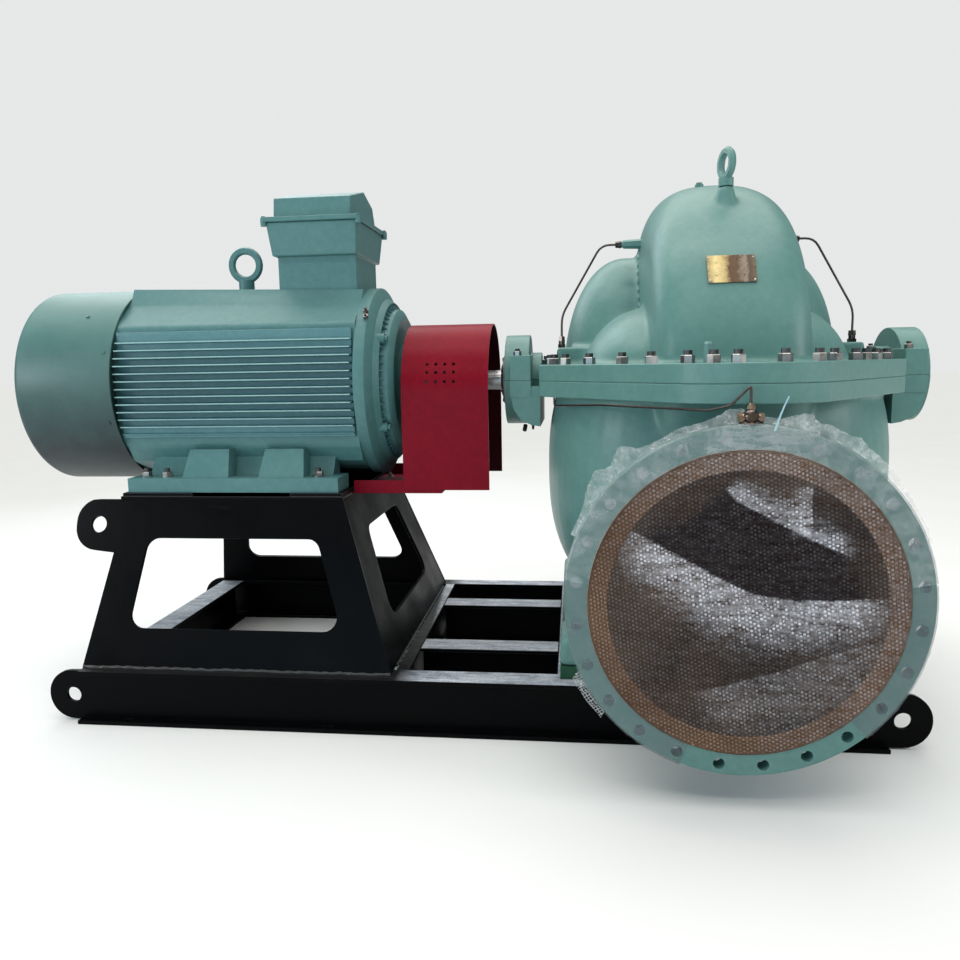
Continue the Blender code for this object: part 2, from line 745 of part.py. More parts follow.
def guard():
    """Red sheet guard over the coupling, open below, and the bracket that holds it."""
    arc_steps = 16
    centre_z = GUARD_TOP - GUARD_R

    def arch(radius, bottom):
        points = [(radius, bottom)]
        for step in range(arc_steps + 1):
            angle = math.pi * step / arc_steps
            points.append((radius * math.cos(angle), centre_z + radius * math.sin(angle)))
        points.append((-radius, bottom))
        return points

    outline = arch(GUARD_R, GUARD_BOTTOM) + list(reversed(arch(GUARD_R - GUARD_T, GUARD_BOTTOM)))
    middle = sum(GUARD_X) / 2
    hood = plate("coupling_guard", [outline], GUARD_X[1] - GUARD_X[0], upright_yz(middle), RED)
    for column in range(4):
        for row in range(3):
            place = (-0.090 + column * 0.036, -GUARD_R, SHAFT_Z + 0.052 - row * 0.036)
            cut(hood, cylinder(f"guard_hole_{column}_{row}", place, 0.0065, 0.03, "Y", 8))
    lip_y = GUARD_R - GUARD_T - GAP
    floor_z = STAND_TOP + GAP
    x0 = STAND_HIGH_X[1] + GAP
    x1 = -0.060
    high = floor_z + 0.045
    pan = [
        (lip_y, high), (-lip_y, high), (-lip_y, floor_z), (lip_y, floor_z),
    ]
    bracket = plate("guard_bracket", [pan], x1 - x0, upright_yz((x0 + x1) / 2), RED)
    hollow = box(
        "bracket_hollow", (x0 - 1, -lip_y + GUARD_T, floor_z + GUARD_T), (x1 + 1, lip_y - GUARD_T, high + 1)
    )
    cut(bracket, hollow)


def flange_outline():
    """Outline of the split flange, wide in the middle and narrow at the bearings."""
    x, end_y, mid_x, mid_y = FLANGE_HALF_X, FLANGE_END_Y, FLANGE_MID_X, FLANGE_MID_Y
    corners = [
        (x, -end_y), (x, end_y), (mid_x, mid_y), (-mid_x, mid_y),
        (-x, end_y), (-x, -end_y), (-mid_x, -mid_y), (mid_x, -mid_y),
    ]
    radii = (0.03, 0.03, 0.20, 0.20, 0.03, 0.03, 0.20, 0.20)
    return [(PUMP_X + u, v) for u, v in rounded(corners, radii, 5)]


def volute(name, steps=10, sides=48):
    """The volute: a ring about the shaft, round over the top and squarer at front and rear."""
    straight = DOME_R - DOME_HALF_X
    shape = bmesh.new()
    rings = []
    for turn in range(sides):
        around = 2 * math.pi * turn / sides
        power = DOME_POWER[0] + DOME_POWER[1] * math.cos(around) ** 2
        ring = []
        for step in range(steps + 1):
            angle = -math.pi / 2 + math.pi * step / steps
            across = DOME_HALF_X * abs(math.sin(angle)) ** (2 / power)
            radius = straight + DOME_HALF_X * abs(math.cos(angle)) ** (2 / power)
            place = (
                math.copysign(across, angle), -radius * math.cos(around), radius * math.sin(around)
            )
            ring.append(shape.verts.new(place))
        rings.append(ring)
    for ring, following in zip(rings, rings[1:] + rings[:1]):
        for step in range(steps):
            shape.faces.new((ring[step], ring[step + 1], following[step + 1], following[step]))
    shape.faces.new([ring[0] for ring in rings])
    shape.faces.new([ring[-1] for ring in rings])
    bmesh.ops.recalc_face_normals(shape, faces=shape.faces)
    obj = from_bmesh(name, shape)
    obj.location = (DOME_X, 0, SHAFT_Z)
    return obj


def shaft_bore(name):
    x0, x1 = PUMP_X - 1, PUMP_X + 1
    return cylinder(name, ((x0 + x1) / 2, 0, SHAFT_Z), SHAFT_R + CLEARANCE, x1 - x0, "X", 32)


def upper_casing():
    top = plate(
        "upper_casing", [flange_outline()], FLANGE_UP, level(SHAFT_Z + GAP / 2 + FLANGE_UP / 2), GREEN
    )
    join(top, volute("dome"), solver="MANIFOLD")
    for side in (-1, 1):
        hump = bulb(
            f"hump_{side}", (PUMP_X + side * HUMP_OFFSET[0], HUMP_OFFSET[1], SHAFT_Z), HUMP_RADII, 2.1
        )
        shoulder = bulb(
            f"shoulder_{side}", (PUMP_X + side * SHOULDER_OFFSET[0], SHOULDER_OFFSET[1], SHAFT_Z),
            SHOULDER_RADII, 2.0,
        )
        x0, x1 = sorted((PUMP_X + side * SEAL_PAD_X[0], PUMP_X + side * SEAL_PAD_X[1]))
        pad = box(
            f"seal_pad_{side}", (x0, -SEAL_PAD_Y, SHAFT_Z), (x1, SEAL_PAD_Y, SHAFT_Z + SEAL_PAD_UP)
        )
        join(top, hump, shoulder, pad, solver="MANIFOLD")
    for x, inward in zip(FLUSH_XS, (1, -1)):
        fitting = cylinder(
            f"flush_boss_{inward}", (x + inward * 0.040, 0, FLUSH_Z), 0.014, 0.080, "X", 6
        )
        join(top, fitting, solver="MANIFOLD")
    boss = cylinder(
        "eye_boss", (*EYE_PLACE, EYE_BOSS_TOP - 0.067), 0.046, 0.134, "Z", 24, top_radius=0.025
    )
    join(top, boss, solver="MANIFOLD")
    below = box("below_split", (0, -1, 0), (2, 1, SHAFT_Z + GAP / 2))
    cut(top, below, shaft_bore("upper_bore"), solver="MANIFOLD")


def lower_casing():
    body = plate(
        "lower_casing", [flange_outline()], FLANGE_DOWN, level(SHAFT_Z - GAP / 2 - FLANGE_DOWN / 2), GREEN
    )
    bowl = bulb("bowl", BOWL_PLACE, BOWL_RADII, 2.6, 32, 20)
    join(body, bowl, volute("lower_volute"), solver="MANIFOLD")
    for side, size in ((-1, SUCTION), (1, DISCHARGE)):
        length = NECK_ROOT_Y - GAP / 2
        stub = cylinder(
            f"stub_{side}", (NOZZLE_X, side * length / 2, NOZZLE_Z), size["neck"] + 0.003, length, "Y", 48
        )
        join(body, stub, solver="MANIFOLD")
    for side_x in (-1, 1):
        for side_y in (-1, 1):
            low_y = sorted((side_y * 0.540, side_y * 0.330))
            high_y = sorted((side_y * 0.430, side_y * 0.250))
            inner, outer = (PUMP_X + side_x * reach for reach in CASING_FOOT_X)
            deep = PUMP_X + side_x * 0.300
            foot = box(
                f"casing_foot_{side_x}_{side_y}",
                (min(outer, inner), low_y[0], BASE_H + FOOT_PAD_T + 2 * GAP),
                (max(outer, inner), low_y[1], CASING_FOOT_TOP),
            )
            leg = tapered_box(
                f"casing_leg_{side_x}_{side_y}", CASING_FOOT_TOP - 0.010, 0.520,
                (*sorted((outer - side_x * 0.015, deep)), *low_y),
                (*sorted((outer - side_x * 0.060, deep)), *high_y),
            )
            join(body, foot, leg, solver="MANIFOLD")
    above = box("above_split", (0, -1, SHAFT_Z - GAP / 2), (2, 1, 3))
    cut(body, above, shaft_bore("lower_bore"), solver="MANIFOLD")
    for side, size in ((-1, SUCTION), (1, DISCHARGE)):
        throat = cylinder(
            f"throat_{side}", (NOZZLE_X, side * 0.500, NOZZLE_Z), size["bore"], 0.300, "Y", 48
        )
        cut(body, throat, solver="MANIFOLD")


def nozzle(side, word, size):
    """Neck of a nozzle and the drilled flange welded to its end."""
    def turned_outward(name, profile, start):
        if side < 0:
            profile = [(radius, -height) for radius, height in reversed(profile)]
        return turned(name, profile, (NOZZLE_X, side * start, NOZZLE_Z), "Y", GREEN, 48)

    root = NECK_ROOT_Y + GAP / 2
    length = NOZZLE_FACE_Y - FLANGE_T - GAP - root
    turned_outward(
        word + "_neck",
        [
            (size["bore"], length), (size["neck"] + 0.012, length), (size["neck"], length - 0.014),
            (size["neck"], 0.0), (size["bore"], 0.0),
        ],
        root,
    )
    ring = turned_outward(
        word + "_flange",
        [(size["bore"], FLANGE_T), (size["rim"], FLANGE_T), (size["rim"], 0.0), (size["bore"], 0.0)],
        NOZZLE_FACE_Y - FLANGE_T,
    )
    step = 2 * math.pi / size["holes"]
    for index in range(size["holes"]):
        angle = step * (index + 0.5)
        place = (
            NOZZLE_X + size["pitch"] * math.cos(angle),
            side * (NOZZLE_FACE_Y - FLANGE_T / 2),
            NOZZLE_Z + size["pitch"] * math.sin(angle),
        )
        cut(ring, cylinder(f"{word}_hole_{index}", place, FLANGE_HOLE_R, 0.1, "Y", 8))


def bearing(word, side):
    """A split bearing housing on the end of the casing: half below, cap above, bored inside."""
    face = PUMP_X + side * (FLANGE_HALF_X + BEARING_SEAT)

    def span(start, end):
        return sorted((face + side * start, face + side * end))

    drum_x = span(DRUM_START, BEARING_REACH - BEARING_SEAT)
    hub_x = span(0.0, DRUM_START + 0.010)
    ear_x = span(*EAR_REACH)

    def drum(name, finish=None):
        return cylinder(
            name, (sum(drum_x) / 2, 0, SHAFT_Z), DRUM_R, drum_x[1] - drum_x[0], "X", 48, finish
        )

    def hub(name):
        return cylinder(name, (sum(hub_x) / 2, 0, SHAFT_Z), HUB_R, hub_x[1] - hub_x[0], "X", 32)

    lower = drum(word + "_bearing_housing", GREEN)
    seat_block = box(
        word + "_seat_block", (ear_x[0], -EAR_Y, SHAFT_Z - 0.055), (ear_x[1], EAR_Y, SHAFT_Z + 0.1)
    )
    outline = [(face + side * x, SHAFT_Z + z) for x, z in BRACKET_SIDE]
    bracket = plate(word + "_bracket", [outline], 2 * EAR_Y - 0.004, upright_xz(0))
    join(lower, hub(word + "_lower_hub"), seat_block, bracket, solver="MANIFOLD")
    cap = drum(word + "_bearing_cap", GREEN)
    cap_ear = box(
        word + "_cap_ear", (ear_x[0], -EAR_Y, SHAFT_Z - 0.1), (ear_x[1], EAR_Y, SHAFT_Z + EAR_UP)
    )
    join(cap, hub(word + "_upper_hub"), cap_ear, solver="MANIFOLD")
    above = box(word + "_above", (face - 1, -1, SHAFT_Z - GAP / 2), (face + 1, 1, 3))
    below = box(word + "_below", (face - 1, -1, 0), (face + 1, 1, SHAFT_Z + GAP / 2))
    seat_x = (PUMP_X, SHAFT_END + RUNNING_GAP) if side > 0 else (PUMP_X - 1, PUMP_X)
    seat = cylinder(
        word + "_seat", (sum(seat_x) / 2, 0, SHAFT_Z), SHAFT_R + RUNNING_GAP, seat_x[1] - seat_x[0],
        "X", 48,
    )
    cut(lower, above, seat, solver="MANIFOLD")
    cut(cap, below, seat, solver="MANIFOLD")


def bearings():
    bearing("drive", -1)
    bearing("outer", 1)
    cover_x = PUMP_X - FLANGE_HALF_X - BEARING_REACH - GAP
    turned(
        "drive_bearing_cover",
        [
            (SHAFT_R + CLEARANCE, 0.0), (0.085, 0.0), (0.085, -0.020), (SHAFT_R + CLEARANCE, -0.020),
        ],
        (cover_x, 0, SHAFT_Z), "X", STEEL_DARK, 32,
    )


def lifting_eye():
    """The pump's eyebolt on its boss, with the ring turned almost edge on to the front."""
    ring_z = EYE_BOSS_TOP + 0.0645
    eye = turned(
        "pump_lifting_eye",
        [(0.043, 0.010), (0.050, 0.0), (0.043, -0.010), (0.031, -0.010), (0.025, 0.0), (0.031, 0.010)],
        (0, 0, 0), "Y", GREEN, 24,
    )
    place = Matrix.Translation((*EYE_PLACE, ring_z))
    eye.matrix_world = place @ Matrix.Rotation(EYE_TURN, 4, "Z") @ axis_turn("Y")
    stem = cylinder("pump_eye_stem", (*EYE_PLACE, EYE_BOSS_TOP + GAP + 0.012), 0.022, 0.024, "Z", 24)
    join(eye, stem)


def nameplate():
    """The bare plate on the front of the dome, lying on its slope."""
    tilt = math.asin(PLATE_UP / DOME_R)
    out = DOME_R + 0.0017
    frame = (
        Matrix.Translation((PUMP_X - 0.015, -out * math.cos(tilt), SHAFT_Z + out * math.sin(tilt)))
        @ Matrix.Rotation(-tilt, 4, "X")
    )
    sheet = box("nameplate", (-0.066, -0.0015, -0.045), (0.066, 0.0015, 0.045), BRASSY)
    sheet.matrix_world = frame


def flush_tubes():
    """Thin tubes from the dome's sides down to the seal pads."""
    pad_top = SHAFT_Z + SEAL_PAD_UP + GAP
    route = softened(
        [(-GAP, 0, FLUSH_Z), (-0.076, 0, FLUSH_Z), (-0.213, 0, SHAFT_Z + 0.222), (-0.213, 0, pad_top)],
        0.030,
    )
    for x, side, word in zip(FLUSH_XS, (1, -1), ("left", "right")):
        tube(word + "_flush_tube", [(x + side * u, v, z) for u, v, z in route], TUBE_R, STEEL_DARK)


def vent():
    """The vent fitting on the suction flange's rim and the tube that leaves it for the seal."""
    x, y = VENT_PLACE
    low = NOZZLE_Z + SUCTION["rim"] + GAP
    turned(
        "vent_fitting",
        [
            (0.0, 0.050), (0.010, 0.050), (0.010, 0.040), (0.016, 0.040), (0.016, 0.022),
            (0.012, 0.018), (0.012, 0.0), (0.0, 0.0),
        ],
        (x, y, low), "Z", STEEL_BRIGHT, 12,
    )
    under = SHAFT_Z - FLANGE_DOWN - 0.014
    end = (0.325, -0.330)
    route = softened(
        [
            (x, y, low + 0.050 + GAP), (x, y, low + 0.094), (x - 0.047, y, low + 0.047),
            (x - 0.092, y + 0.043, under), (0.461, -0.560, under), (*end, under - 0.014),
            (*end, SHAFT_Z - FLANGE_DOWN - 2 * GAP),
        ], 0.010, 3,
    )
    tube("front_seal_tube", route, 0.005, STEEL_DARK)


def small_pieces():
    lifting_eye()
    nameplate()
    green_low = BASE_H + GAP
    for side, word in ((-1, "left"), (1, "right")):
        x0, x1 = sorted(PUMP_X + side * reach for reach in CASING_FOOT_X)
        box(word + "_foot_pad", (x0, -0.540, green_low), (x1, 0.540, green_low + FOOT_PAD_T), DARK_GREEN)
    flush_tubes()
    vent()
    cylinder(
        "suction_wrap", (NOZZLE_X, -(NOZZLE_FACE_Y - 0.016), NOZZLE_Z), SUCTION["bore"] - GAP,
        0.008, "Y", 48, WRAP,
    )


start()
base_frame()
motor_stand()
motor()
rotor()
guard()
upper_casing()
lower_casing()
nozzle(-1, "suction", SUCTION)
nozzle(1, "discharge", DISCHARGE)
bearings()
small_pieces()
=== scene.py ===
"""Split case pump with its motor, coupling guard and black base frame, dressed for the camera.

Metres, with X along the shaft towards the outer bearing, Y away from the suction side and Z up from
the floor. The sections follow the set as it is put together in the works.
"""
import json
import math

import bmesh
import bpy
from mathutils import Matrix, Vector, noise

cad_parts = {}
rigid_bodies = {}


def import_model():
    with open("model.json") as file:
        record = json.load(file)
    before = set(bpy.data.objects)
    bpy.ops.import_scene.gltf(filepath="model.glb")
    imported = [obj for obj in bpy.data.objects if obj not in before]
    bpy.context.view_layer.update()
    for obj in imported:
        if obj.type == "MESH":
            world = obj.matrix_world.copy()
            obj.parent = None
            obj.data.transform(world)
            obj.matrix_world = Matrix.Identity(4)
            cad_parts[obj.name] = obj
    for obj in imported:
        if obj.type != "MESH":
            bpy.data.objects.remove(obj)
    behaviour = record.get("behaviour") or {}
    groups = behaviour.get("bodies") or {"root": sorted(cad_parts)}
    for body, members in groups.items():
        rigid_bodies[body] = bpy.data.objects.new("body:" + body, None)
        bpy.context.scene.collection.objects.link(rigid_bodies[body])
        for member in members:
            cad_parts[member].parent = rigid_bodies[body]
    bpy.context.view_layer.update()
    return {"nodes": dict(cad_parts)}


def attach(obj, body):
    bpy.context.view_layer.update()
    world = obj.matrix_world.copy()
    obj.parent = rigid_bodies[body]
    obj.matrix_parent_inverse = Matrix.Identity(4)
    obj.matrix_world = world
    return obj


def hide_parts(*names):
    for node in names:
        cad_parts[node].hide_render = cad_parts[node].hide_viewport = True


for thing in list(bpy.data.objects):
    bpy.data.objects.remove(thing, do_unlink=True)
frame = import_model()


# Works floor and lights
# A plain pale floor under the set, lit by wide soft lamps hung high at the front and the sides.
# The pale surroundings fill the shadows as a bright works hall does.

class Finish:
    """A material in the making: its shader, and the point on the piece that its patterns read."""

    def __init__(self, name, rough=0.5, metallic=0.0, specular=0.5):
        self.material = bpy.data.materials.new(name)
        self.material.use_nodes = True
        self.shader = self.material.node_tree.nodes["Principled BSDF"]
        self.shader.inputs["Roughness"].default_value = rough
        self.shader.inputs["Metallic"].default_value = metallic
        self.shader.inputs["Specular IOR Level"].default_value = specular
        self.place = self.add("TexCoord").outputs["Object"]

    def add(self, kind, inputs=(), **settings):
        """One more shader node, with its inputs linked or set."""
        made = self.material.node_tree.nodes.new("ShaderNode" + kind)
        for key, value in settings.items():
            setattr(made, key, value)
        for socket, value in dict(inputs).items():
            if isinstance(value, bpy.types.NodeSocket):
                self.material.node_tree.links.new(value, made.inputs[socket])
            else:
                made.inputs[socket].default_value = value
        return made

    def link(self, socket, value):
        """Leads a colour or a number into the shader."""
        self.material.node_tree.links.new(value, self.shader.inputs[socket])

    def maths(self, operation, first, second):
        """One sum or product of two numbers."""
        return self.add("Math", {0: first, 1: second}, operation=operation).outputs[0]

    def span(self, value, start, end, low, high):
        """A number that runs from low to high while the value runs from start to end."""
        return self.add("MapRange", {
            "Value": value, "From Min": start, "From Max": end, "To Min": low, "To Max": high
        }).outputs["Result"]

    def between(self, factor, low, high):
        """A number that runs from low to high over the middle of a pattern."""
        return self.span(factor, 0.3, 0.7, low, high)

    def stretched(self, scale, turn=0.0):
        """The point on the piece for a drawn out pattern, turned about Y and scaled along each axis."""
        return self.add("Mapping", {
            "Vector": self.place, "Rotation": (0, turn, 0), "Scale": scale
        }).outputs["Vector"]

    def mottle(self, scale, detail=4.0, rough=0.55, place=None):
        """Cloudy pattern on the piece, scale in patches a metre."""
        return self.add("TexNoise", {
            "Vector": self.place if place is None else place, "Scale": scale, "Detail": detail,
            "Roughness": rough,
        }).outputs["Fac"]

    def tones(self, factor, *stops):
        """Colours along a factor: (position, (red, green, blue)) stops."""
        ramp = self.add("ValToRGB", {"Fac": factor})
        steps = ramp.color_ramp.elements
        while len(steps) < len(stops):
            steps.new(0.5)
        for step, (position, colour) in zip(steps, stops):
            step.position = position
            step.color = (*colour, 1.0)
        return ramp.outputs["Color"]

    def blend(self, factor, first, second):
        """The first colour turning into the second as the factor grows."""
        ends = [
            part if isinstance(part, bpy.types.NodeSocket) else (*part, 1.0) for part in (first, second)
        ]
        inputs = {"Factor": factor, 6: ends[0], 7: ends[1]}
        return self.add("Mix", inputs, data_type="RGBA").outputs[2]

    def relief(self, *heights):
        """Bumps from (factor, distance in metres, strength), one on top of the other."""
        below = None
        for factor, distance, strength in heights:
            inputs = {"Height": factor, "Distance": distance, "Strength": strength}
            if below:
                inputs["Normal"] = below
            below = self.add("Bump", inputs).outputs["Normal"]
        self.link("Normal", below)


def mesh_of(name, shape):
    """The shape as a mesh, which uses the shape up."""
    mesh = bpy.data.meshes.new(name)
    shape.to_mesh(mesh)
    shape.free()
    return mesh


def placed(name, data):
    """A new object in the scene, for a mesh, a lamp or a camera."""
    thing = bpy.data.objects.new(name, data)
    bpy.context.scene.collection.objects.link(thing)
    return thing


pale = Finish("pale_floor", 0.85, specular=0.1)
pale.link("Base Color", pale.tones(
    pale.mottle(1.5), (0.3, (0.68, 0.68, 0.68)), (0.7, (0.70, 0.70, 0.698))
))
shape = bmesh.new()
bmesh.ops.create_grid(shape, x_segments=1, y_segments=1, size=60)
works_floor = placed("works_floor", mesh_of("works_floor", shape))
works_floor.data.materials.append(pale.material)

world = bpy.data.worlds.new("works_hall")
bpy.context.scene.world = world
world.use_nodes = True
hall = world.node_tree
fill_light = hall.nodes["Background"]
plain_white = hall.nodes.new("ShaderNodeBackground")
for glow, colour, strength in (
    (fill_light, (0.80, 0.93, 1.0, 1.0), 0.26), (plain_white, (0.795, 0.81, 0.805, 1.0), 1.0),
):
    glow.inputs["Color"].default_value = colour
    glow.inputs["Strength"].default_value = strength
choice = hall.nodes.new("ShaderNodeMixShader")
seen = hall.nodes.new("ShaderNodeLightPath")
hall.links.new(seen.outputs["Is Camera Ray"], choice.inputs[0])
hall.links.new(fill_light.outputs[0], choice.inputs[1])
hall.links.new(plain_white.outputs[0], choice.inputs[2])
hall.links.new(choice.outputs[0], hall.nodes["World Output"].inputs["Surface"])
bpy.context.scene.view_settings.view_transform = "Standard"

TUBE_LIGHT = (1.0, 0.97, 0.90)
for name, place, aim, size, watts, colour in (
    ("front_roof_strip", (0.2, -3.4, 4.3), (0.2, 0, 0.8), (4.4, 0.40), 42, TUBE_LIGHT),
    ("middle_roof_strip", (-0.2, -0.6, 4.8), (0, 0, 0.9), (4.4, 0.35), 40, TUBE_LIGHT),
    ("left_lamp", (-4.0, -2.6, 1.8), (0.3, 0, 0.9), (1.6, 1.3), 64, (0.86, 0.95, 1.0)),
    ("rear_left_lamp", (-2.6, 2.9, 3.6), (0.5, 0.2, 1.3), (3.2, 2.6), 62, (0.88, 0.96, 1.0)),
    ("low_front_lamp", (-1.4, -5.2, 1.3), (0.2, 0, 0.9), (3.4, 1.4), 42, (0.52, 0.80, 1.0)),
    ("right_lamp", (4.3, -1.8, 2.2), (0.8, 0, 1.0), (1.6, 1.4), 46, (1.0, 1.0, 1.0)),
):
    lamp = bpy.data.lights.new(name, "AREA")
    lamp.shape = "RECTANGLE"
    lamp.size, lamp.size_y = size
    lamp.energy = watts
    lamp.color = colour
    holder = placed(name, lamp)
    holder.location = place
    holder.rotation_euler = (Vector(aim) - Vector(place)).to_track_quat("-Z", "Y").to_euler()
day = bpy.data.lights.new("roof_glow", "SUN")
day.energy = 3.1
day.angle = math.radians(80)
day.color = (1.0, 0.98, 0.92)
roof_glow = placed("roof_glow", day)
roof_glow.rotation_euler = (math.radians(-14), math.radians(-6), 0)


# Camera
# Held at eye level about three metres from the pump, turned a little to the left and down. The
# lens is a little wide, and the hand that held it let the horizon lean by a degree.

yaw, pitch, roll = 0.11829, 0.1439, 0.01752
forward = Vector((-math.sin(yaw) * math.cos(pitch), math.cos(yaw) * math.cos(pitch), -math.sin(pitch)))
across = Vector((math.cos(yaw), math.sin(yaw), 0))
upward = across.cross(forward)
right = across * math.cos(roll) - upward * math.sin(roll)
top = across * math.sin(roll) + upward * math.cos(roll)
lens = bpy.data.cameras.new("hand_camera")
lens.sensor_width = 36.0
lens.lens = 30.289
hand_camera = placed("hand_camera", lens)
turn = Matrix((right, top, -forward)).transposed().to_4x4()
hand_camera.matrix_world = Matrix.Translation((0.39043, -2.92979, 1.1418)) @ turn
bpy.context.scene.camera = hand_camera


# Base frame
# Rolled steel channels and beams, cut, welded and brushed with black enamel. The enamel is glossy and
# thin on the arrises, drawn lighter there, partly worn paint and partly a painted highlight. The tops
# are light grey, partly dust and worn steel and partly a painted highlight for the lamps' glare.

def enamel(name, colour, sheen, scuff):
    """Black enamel: nearly even colour, brushed gloss, faint grey scuffs in long streaks."""
    made = Finish(name, 0.35, specular=sheen)
    cloudy = made.mottle(5.0, 6.0, 0.6)
    rubbed = made.mottle(7.0, 8.0, 0.7, made.stretched((1.0, 6.0, 9.0)))
    light = tuple(part + scuff for part in colour)
    made.link("Base Color", made.tones(rubbed, (0.30, colour), (0.62, colour), (0.74, light)))
    made.link("Roughness", made.between(cloudy, 0.26, 0.48))
    made.relief((made.mottle(90.0, 3.0), 0.0008, 0.35), (cloudy, 0.004, 0.25))
    return made.material


def worn_top_and_glare(name, slope, start, end):
    """Light grey on the tops of the beams, partly dust and worn steel and partly a painted highlight for
    the lamps' glare; still black beside a line.
    """
    made = Finish(name, 0.40, specular=0.5)
    patchy = made.mottle(9.0, 8.0, 0.72, made.stretched((1.2, 5.0, 1.0)))
    specks = made.mottle(160.0, 4.0, 0.8)
    where = made.add("VectorMath", {0: made.place, 1: (1.0, slope, 0.0)}, operation="DOT_PRODUCT")
    shown = made.span(where.outputs["Value"], start, end, 0.0, 1.0)
    grey = made.tones(
        patchy, (0.34, (0.16, 0.18, 0.22)), (0.50, (0.50, 0.54, 0.62)), (0.66, (0.80, 0.84, 0.90))
    )
    amount = made.maths("MULTIPLY", shown, made.between(specks, 0.35, 1.0))
    made.link("Base Color", made.blend(amount, (0.002, 0.002, 0.0026), grey))
    made.link("Roughness", made.between(patchy, 0.30, 0.55))
    made.relief((patchy, 0.002, 0.4), (specks, 0.0008, 0.4))
    return made.material


def show(name, shape, *materials, body="frame", replaced=(), smooth=35):
    """Puts a finished shape in the scene, on its body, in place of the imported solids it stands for."""
    piece = placed(name, mesh_of(name, shape))
    for material in materials:
        piece.data.materials.append(material)
    for face in piece.data.polygons:
        face.use_smooth = True
    piece.data.set_sharp_from_angle(angle=math.radians(smooth))
    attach(piece, body)
    if replaced:
        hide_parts(*replaced)
    return piece


def broken_edges(piece, radius, segments=2, material=-1):
    """Eases every sharp edge of a piece, and keeps its flat faces flat."""
    ease = piece.modifiers.new("eased_edges", "BEVEL")
    ease.width = radius
    ease.segments = segments
    ease.limit_method = "ANGLE"
    ease.angle_limit = math.radians(32)
    ease.material = material
    ease.miter_outer = "MITER_ARC"
    flat = piece.modifiers.new("flat_faces", "WEIGHTED_NORMAL")
    flat.keep_sharp = True
    flat.weight = 80


def merged(node):
    """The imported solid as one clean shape, its loose triangles joined and flat faces made whole."""
    shape = bmesh.new()
    shape.from_mesh(frame["nodes"][node].data)
    bmesh.ops.remove_doubles(shape, verts=shape.verts, dist=0.00002)
    bmesh.ops.dissolve_limit(
        shape, angle_limit=math.radians(0.6), verts=shape.verts, edges=shape.edges
    )
    return shape


black_enamel = enamel("black_enamel", (0.0016, 0.0016, 0.0020), 0.05, 0.004)
# The arrises' lighter enamel is partly worn thin paint and partly a painted highlight along the edges.
thin_enamel_and_highlight = enamel("thin_enamel_and_highlight", (0.014, 0.014, 0.016), 0.20, 0.050)
# The grey tops are partly dust and wear and partly a painted highlight for the lamps' glare.
worn_and_glare_top = worn_top_and_glare("worn_and_glare_top", 0.0, -9.0, -8.0)
worn_and_glare_edge = worn_top_and_glare("worn_and_glare_edge", 0.075, -0.150, -0.135)
worn_and_glare_end = worn_top_and_glare("worn_and_glare_end", 0.0, -0.170, -0.090)
FRONT_IN, REAR_IN, OPEN_X, BASE_TOP, GAP = -0.5010, 0.5200, -0.1390, 0.172, 0.0003
for node, top_finish in (
    ("base_front_rail", worn_and_glare_end), ("base_rear_rail", worn_and_glare_end),
    ("base_left_end_beam", worn_and_glare_top), ("base_right_end_beam", worn_and_glare_top),
    ("base_left_cross_beam", worn_and_glare_edge), ("base_right_cross_beam", worn_and_glare_top),
    ("base_front_stringer", worn_and_glare_top), ("base_rear_stringer", worn_and_glare_top),
):
    shape = merged(node)
    for vert in shape.verts:
        x, y = vert.co.xy
        if "rail" in node and abs(y) < 0.475:
            vert.co.y = FRONT_IN if y < 0 else REAR_IN
        if "beam" in node and abs(y) > 0.40:
            vert.co.y = FRONT_IN + GAP if y < 0 else REAR_IN - GAP
        if node == "base_left_cross_beam" and x > -0.150:
            vert.co.x = OPEN_X if x > -0.100 else x - 0.030
        if "stringer" in node:
            vert.co.y = y - 0.0355 if y < 0 else y + 0.0370
            if x < 0:
                vert.co.x = OPEN_X + GAP
    beam = show(
        node + "_finished", shape, black_enamel, thin_enamel_and_highlight, top_finish, replaced=[node], smooth=32
    )
    broken_edges(beam, 0.0022, material=1)
    # Flat top faces take the light grey top: dust and wear, and a painted highlight for the lamps'
    # glare.
    for face in beam.data.polygons:
        if face.normal.z > 0.99 and face.center.z > BASE_TOP - 0.004:
            face.material_index = 2


# Motor stand
# Sloping 12 mm plates with flame cut windows, welded to the base and to a deck plate with four
# planed seats for the motor's feet. Hand laid weld runs along the foot of each plate.

def finished(node, *materials, radius=0.0015, edge=-1, body="frame", segments=2):
    """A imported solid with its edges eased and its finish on."""
    piece = show(
        node + "_finished", merged(node), *materials, body=body, replaced=[node], smooth=32
    )
    broken_edges(piece, radius, segments, material=edge)
    return piece


def aimed(shape, place, way):
    """Turns a shape's own Z to a direction and carries it to a place."""
    lay = Vector(way).to_track_quat("Z", "Y").to_matrix().to_4x4()
    bmesh.ops.transform(shape, matrix=Matrix.Translation(place) @ lay, verts=shape.verts)
    return shape


def bead(first, last, radius):
    """A run of weld along a line, its ripples and lumps uneven."""
    first, last = Vector(first), Vector(last)
    run = last - first
    bar = bmesh.new()
    bmesh.ops.create_cone(
        bar, cap_ends=True, segments=8, radius1=radius, radius2=radius, depth=run.length
    )
    long_edges = [
        edge for edge in bar.edges if abs(edge.verts[0].co.z - edge.verts[1].co.z) > radius
    ]
    ripples = max(2, int(run.length / 0.006))
    bmesh.ops.subdivide_edges(bar, edges=long_edges, cuts=ripples, use_grid_fill=True)
    aimed(bar, (first + last) / 2, run)
    axis = run.normalized()
    for vert in bar.verts:
        along = (vert.co - first).dot(axis)
        core = first + axis * along
        lumps = 0.4 * noise.noise(Vector((along * 160, first.x * 5, 0)))
        drift = 0.0015 * noise.noise(Vector((along * 30, 3, first.y)))
        swell = 1 + lumps + 0.15 * math.sin(along * 900)
        vert.co = core + (vert.co - core) * swell + Vector((0, drift, drift))
    return bar


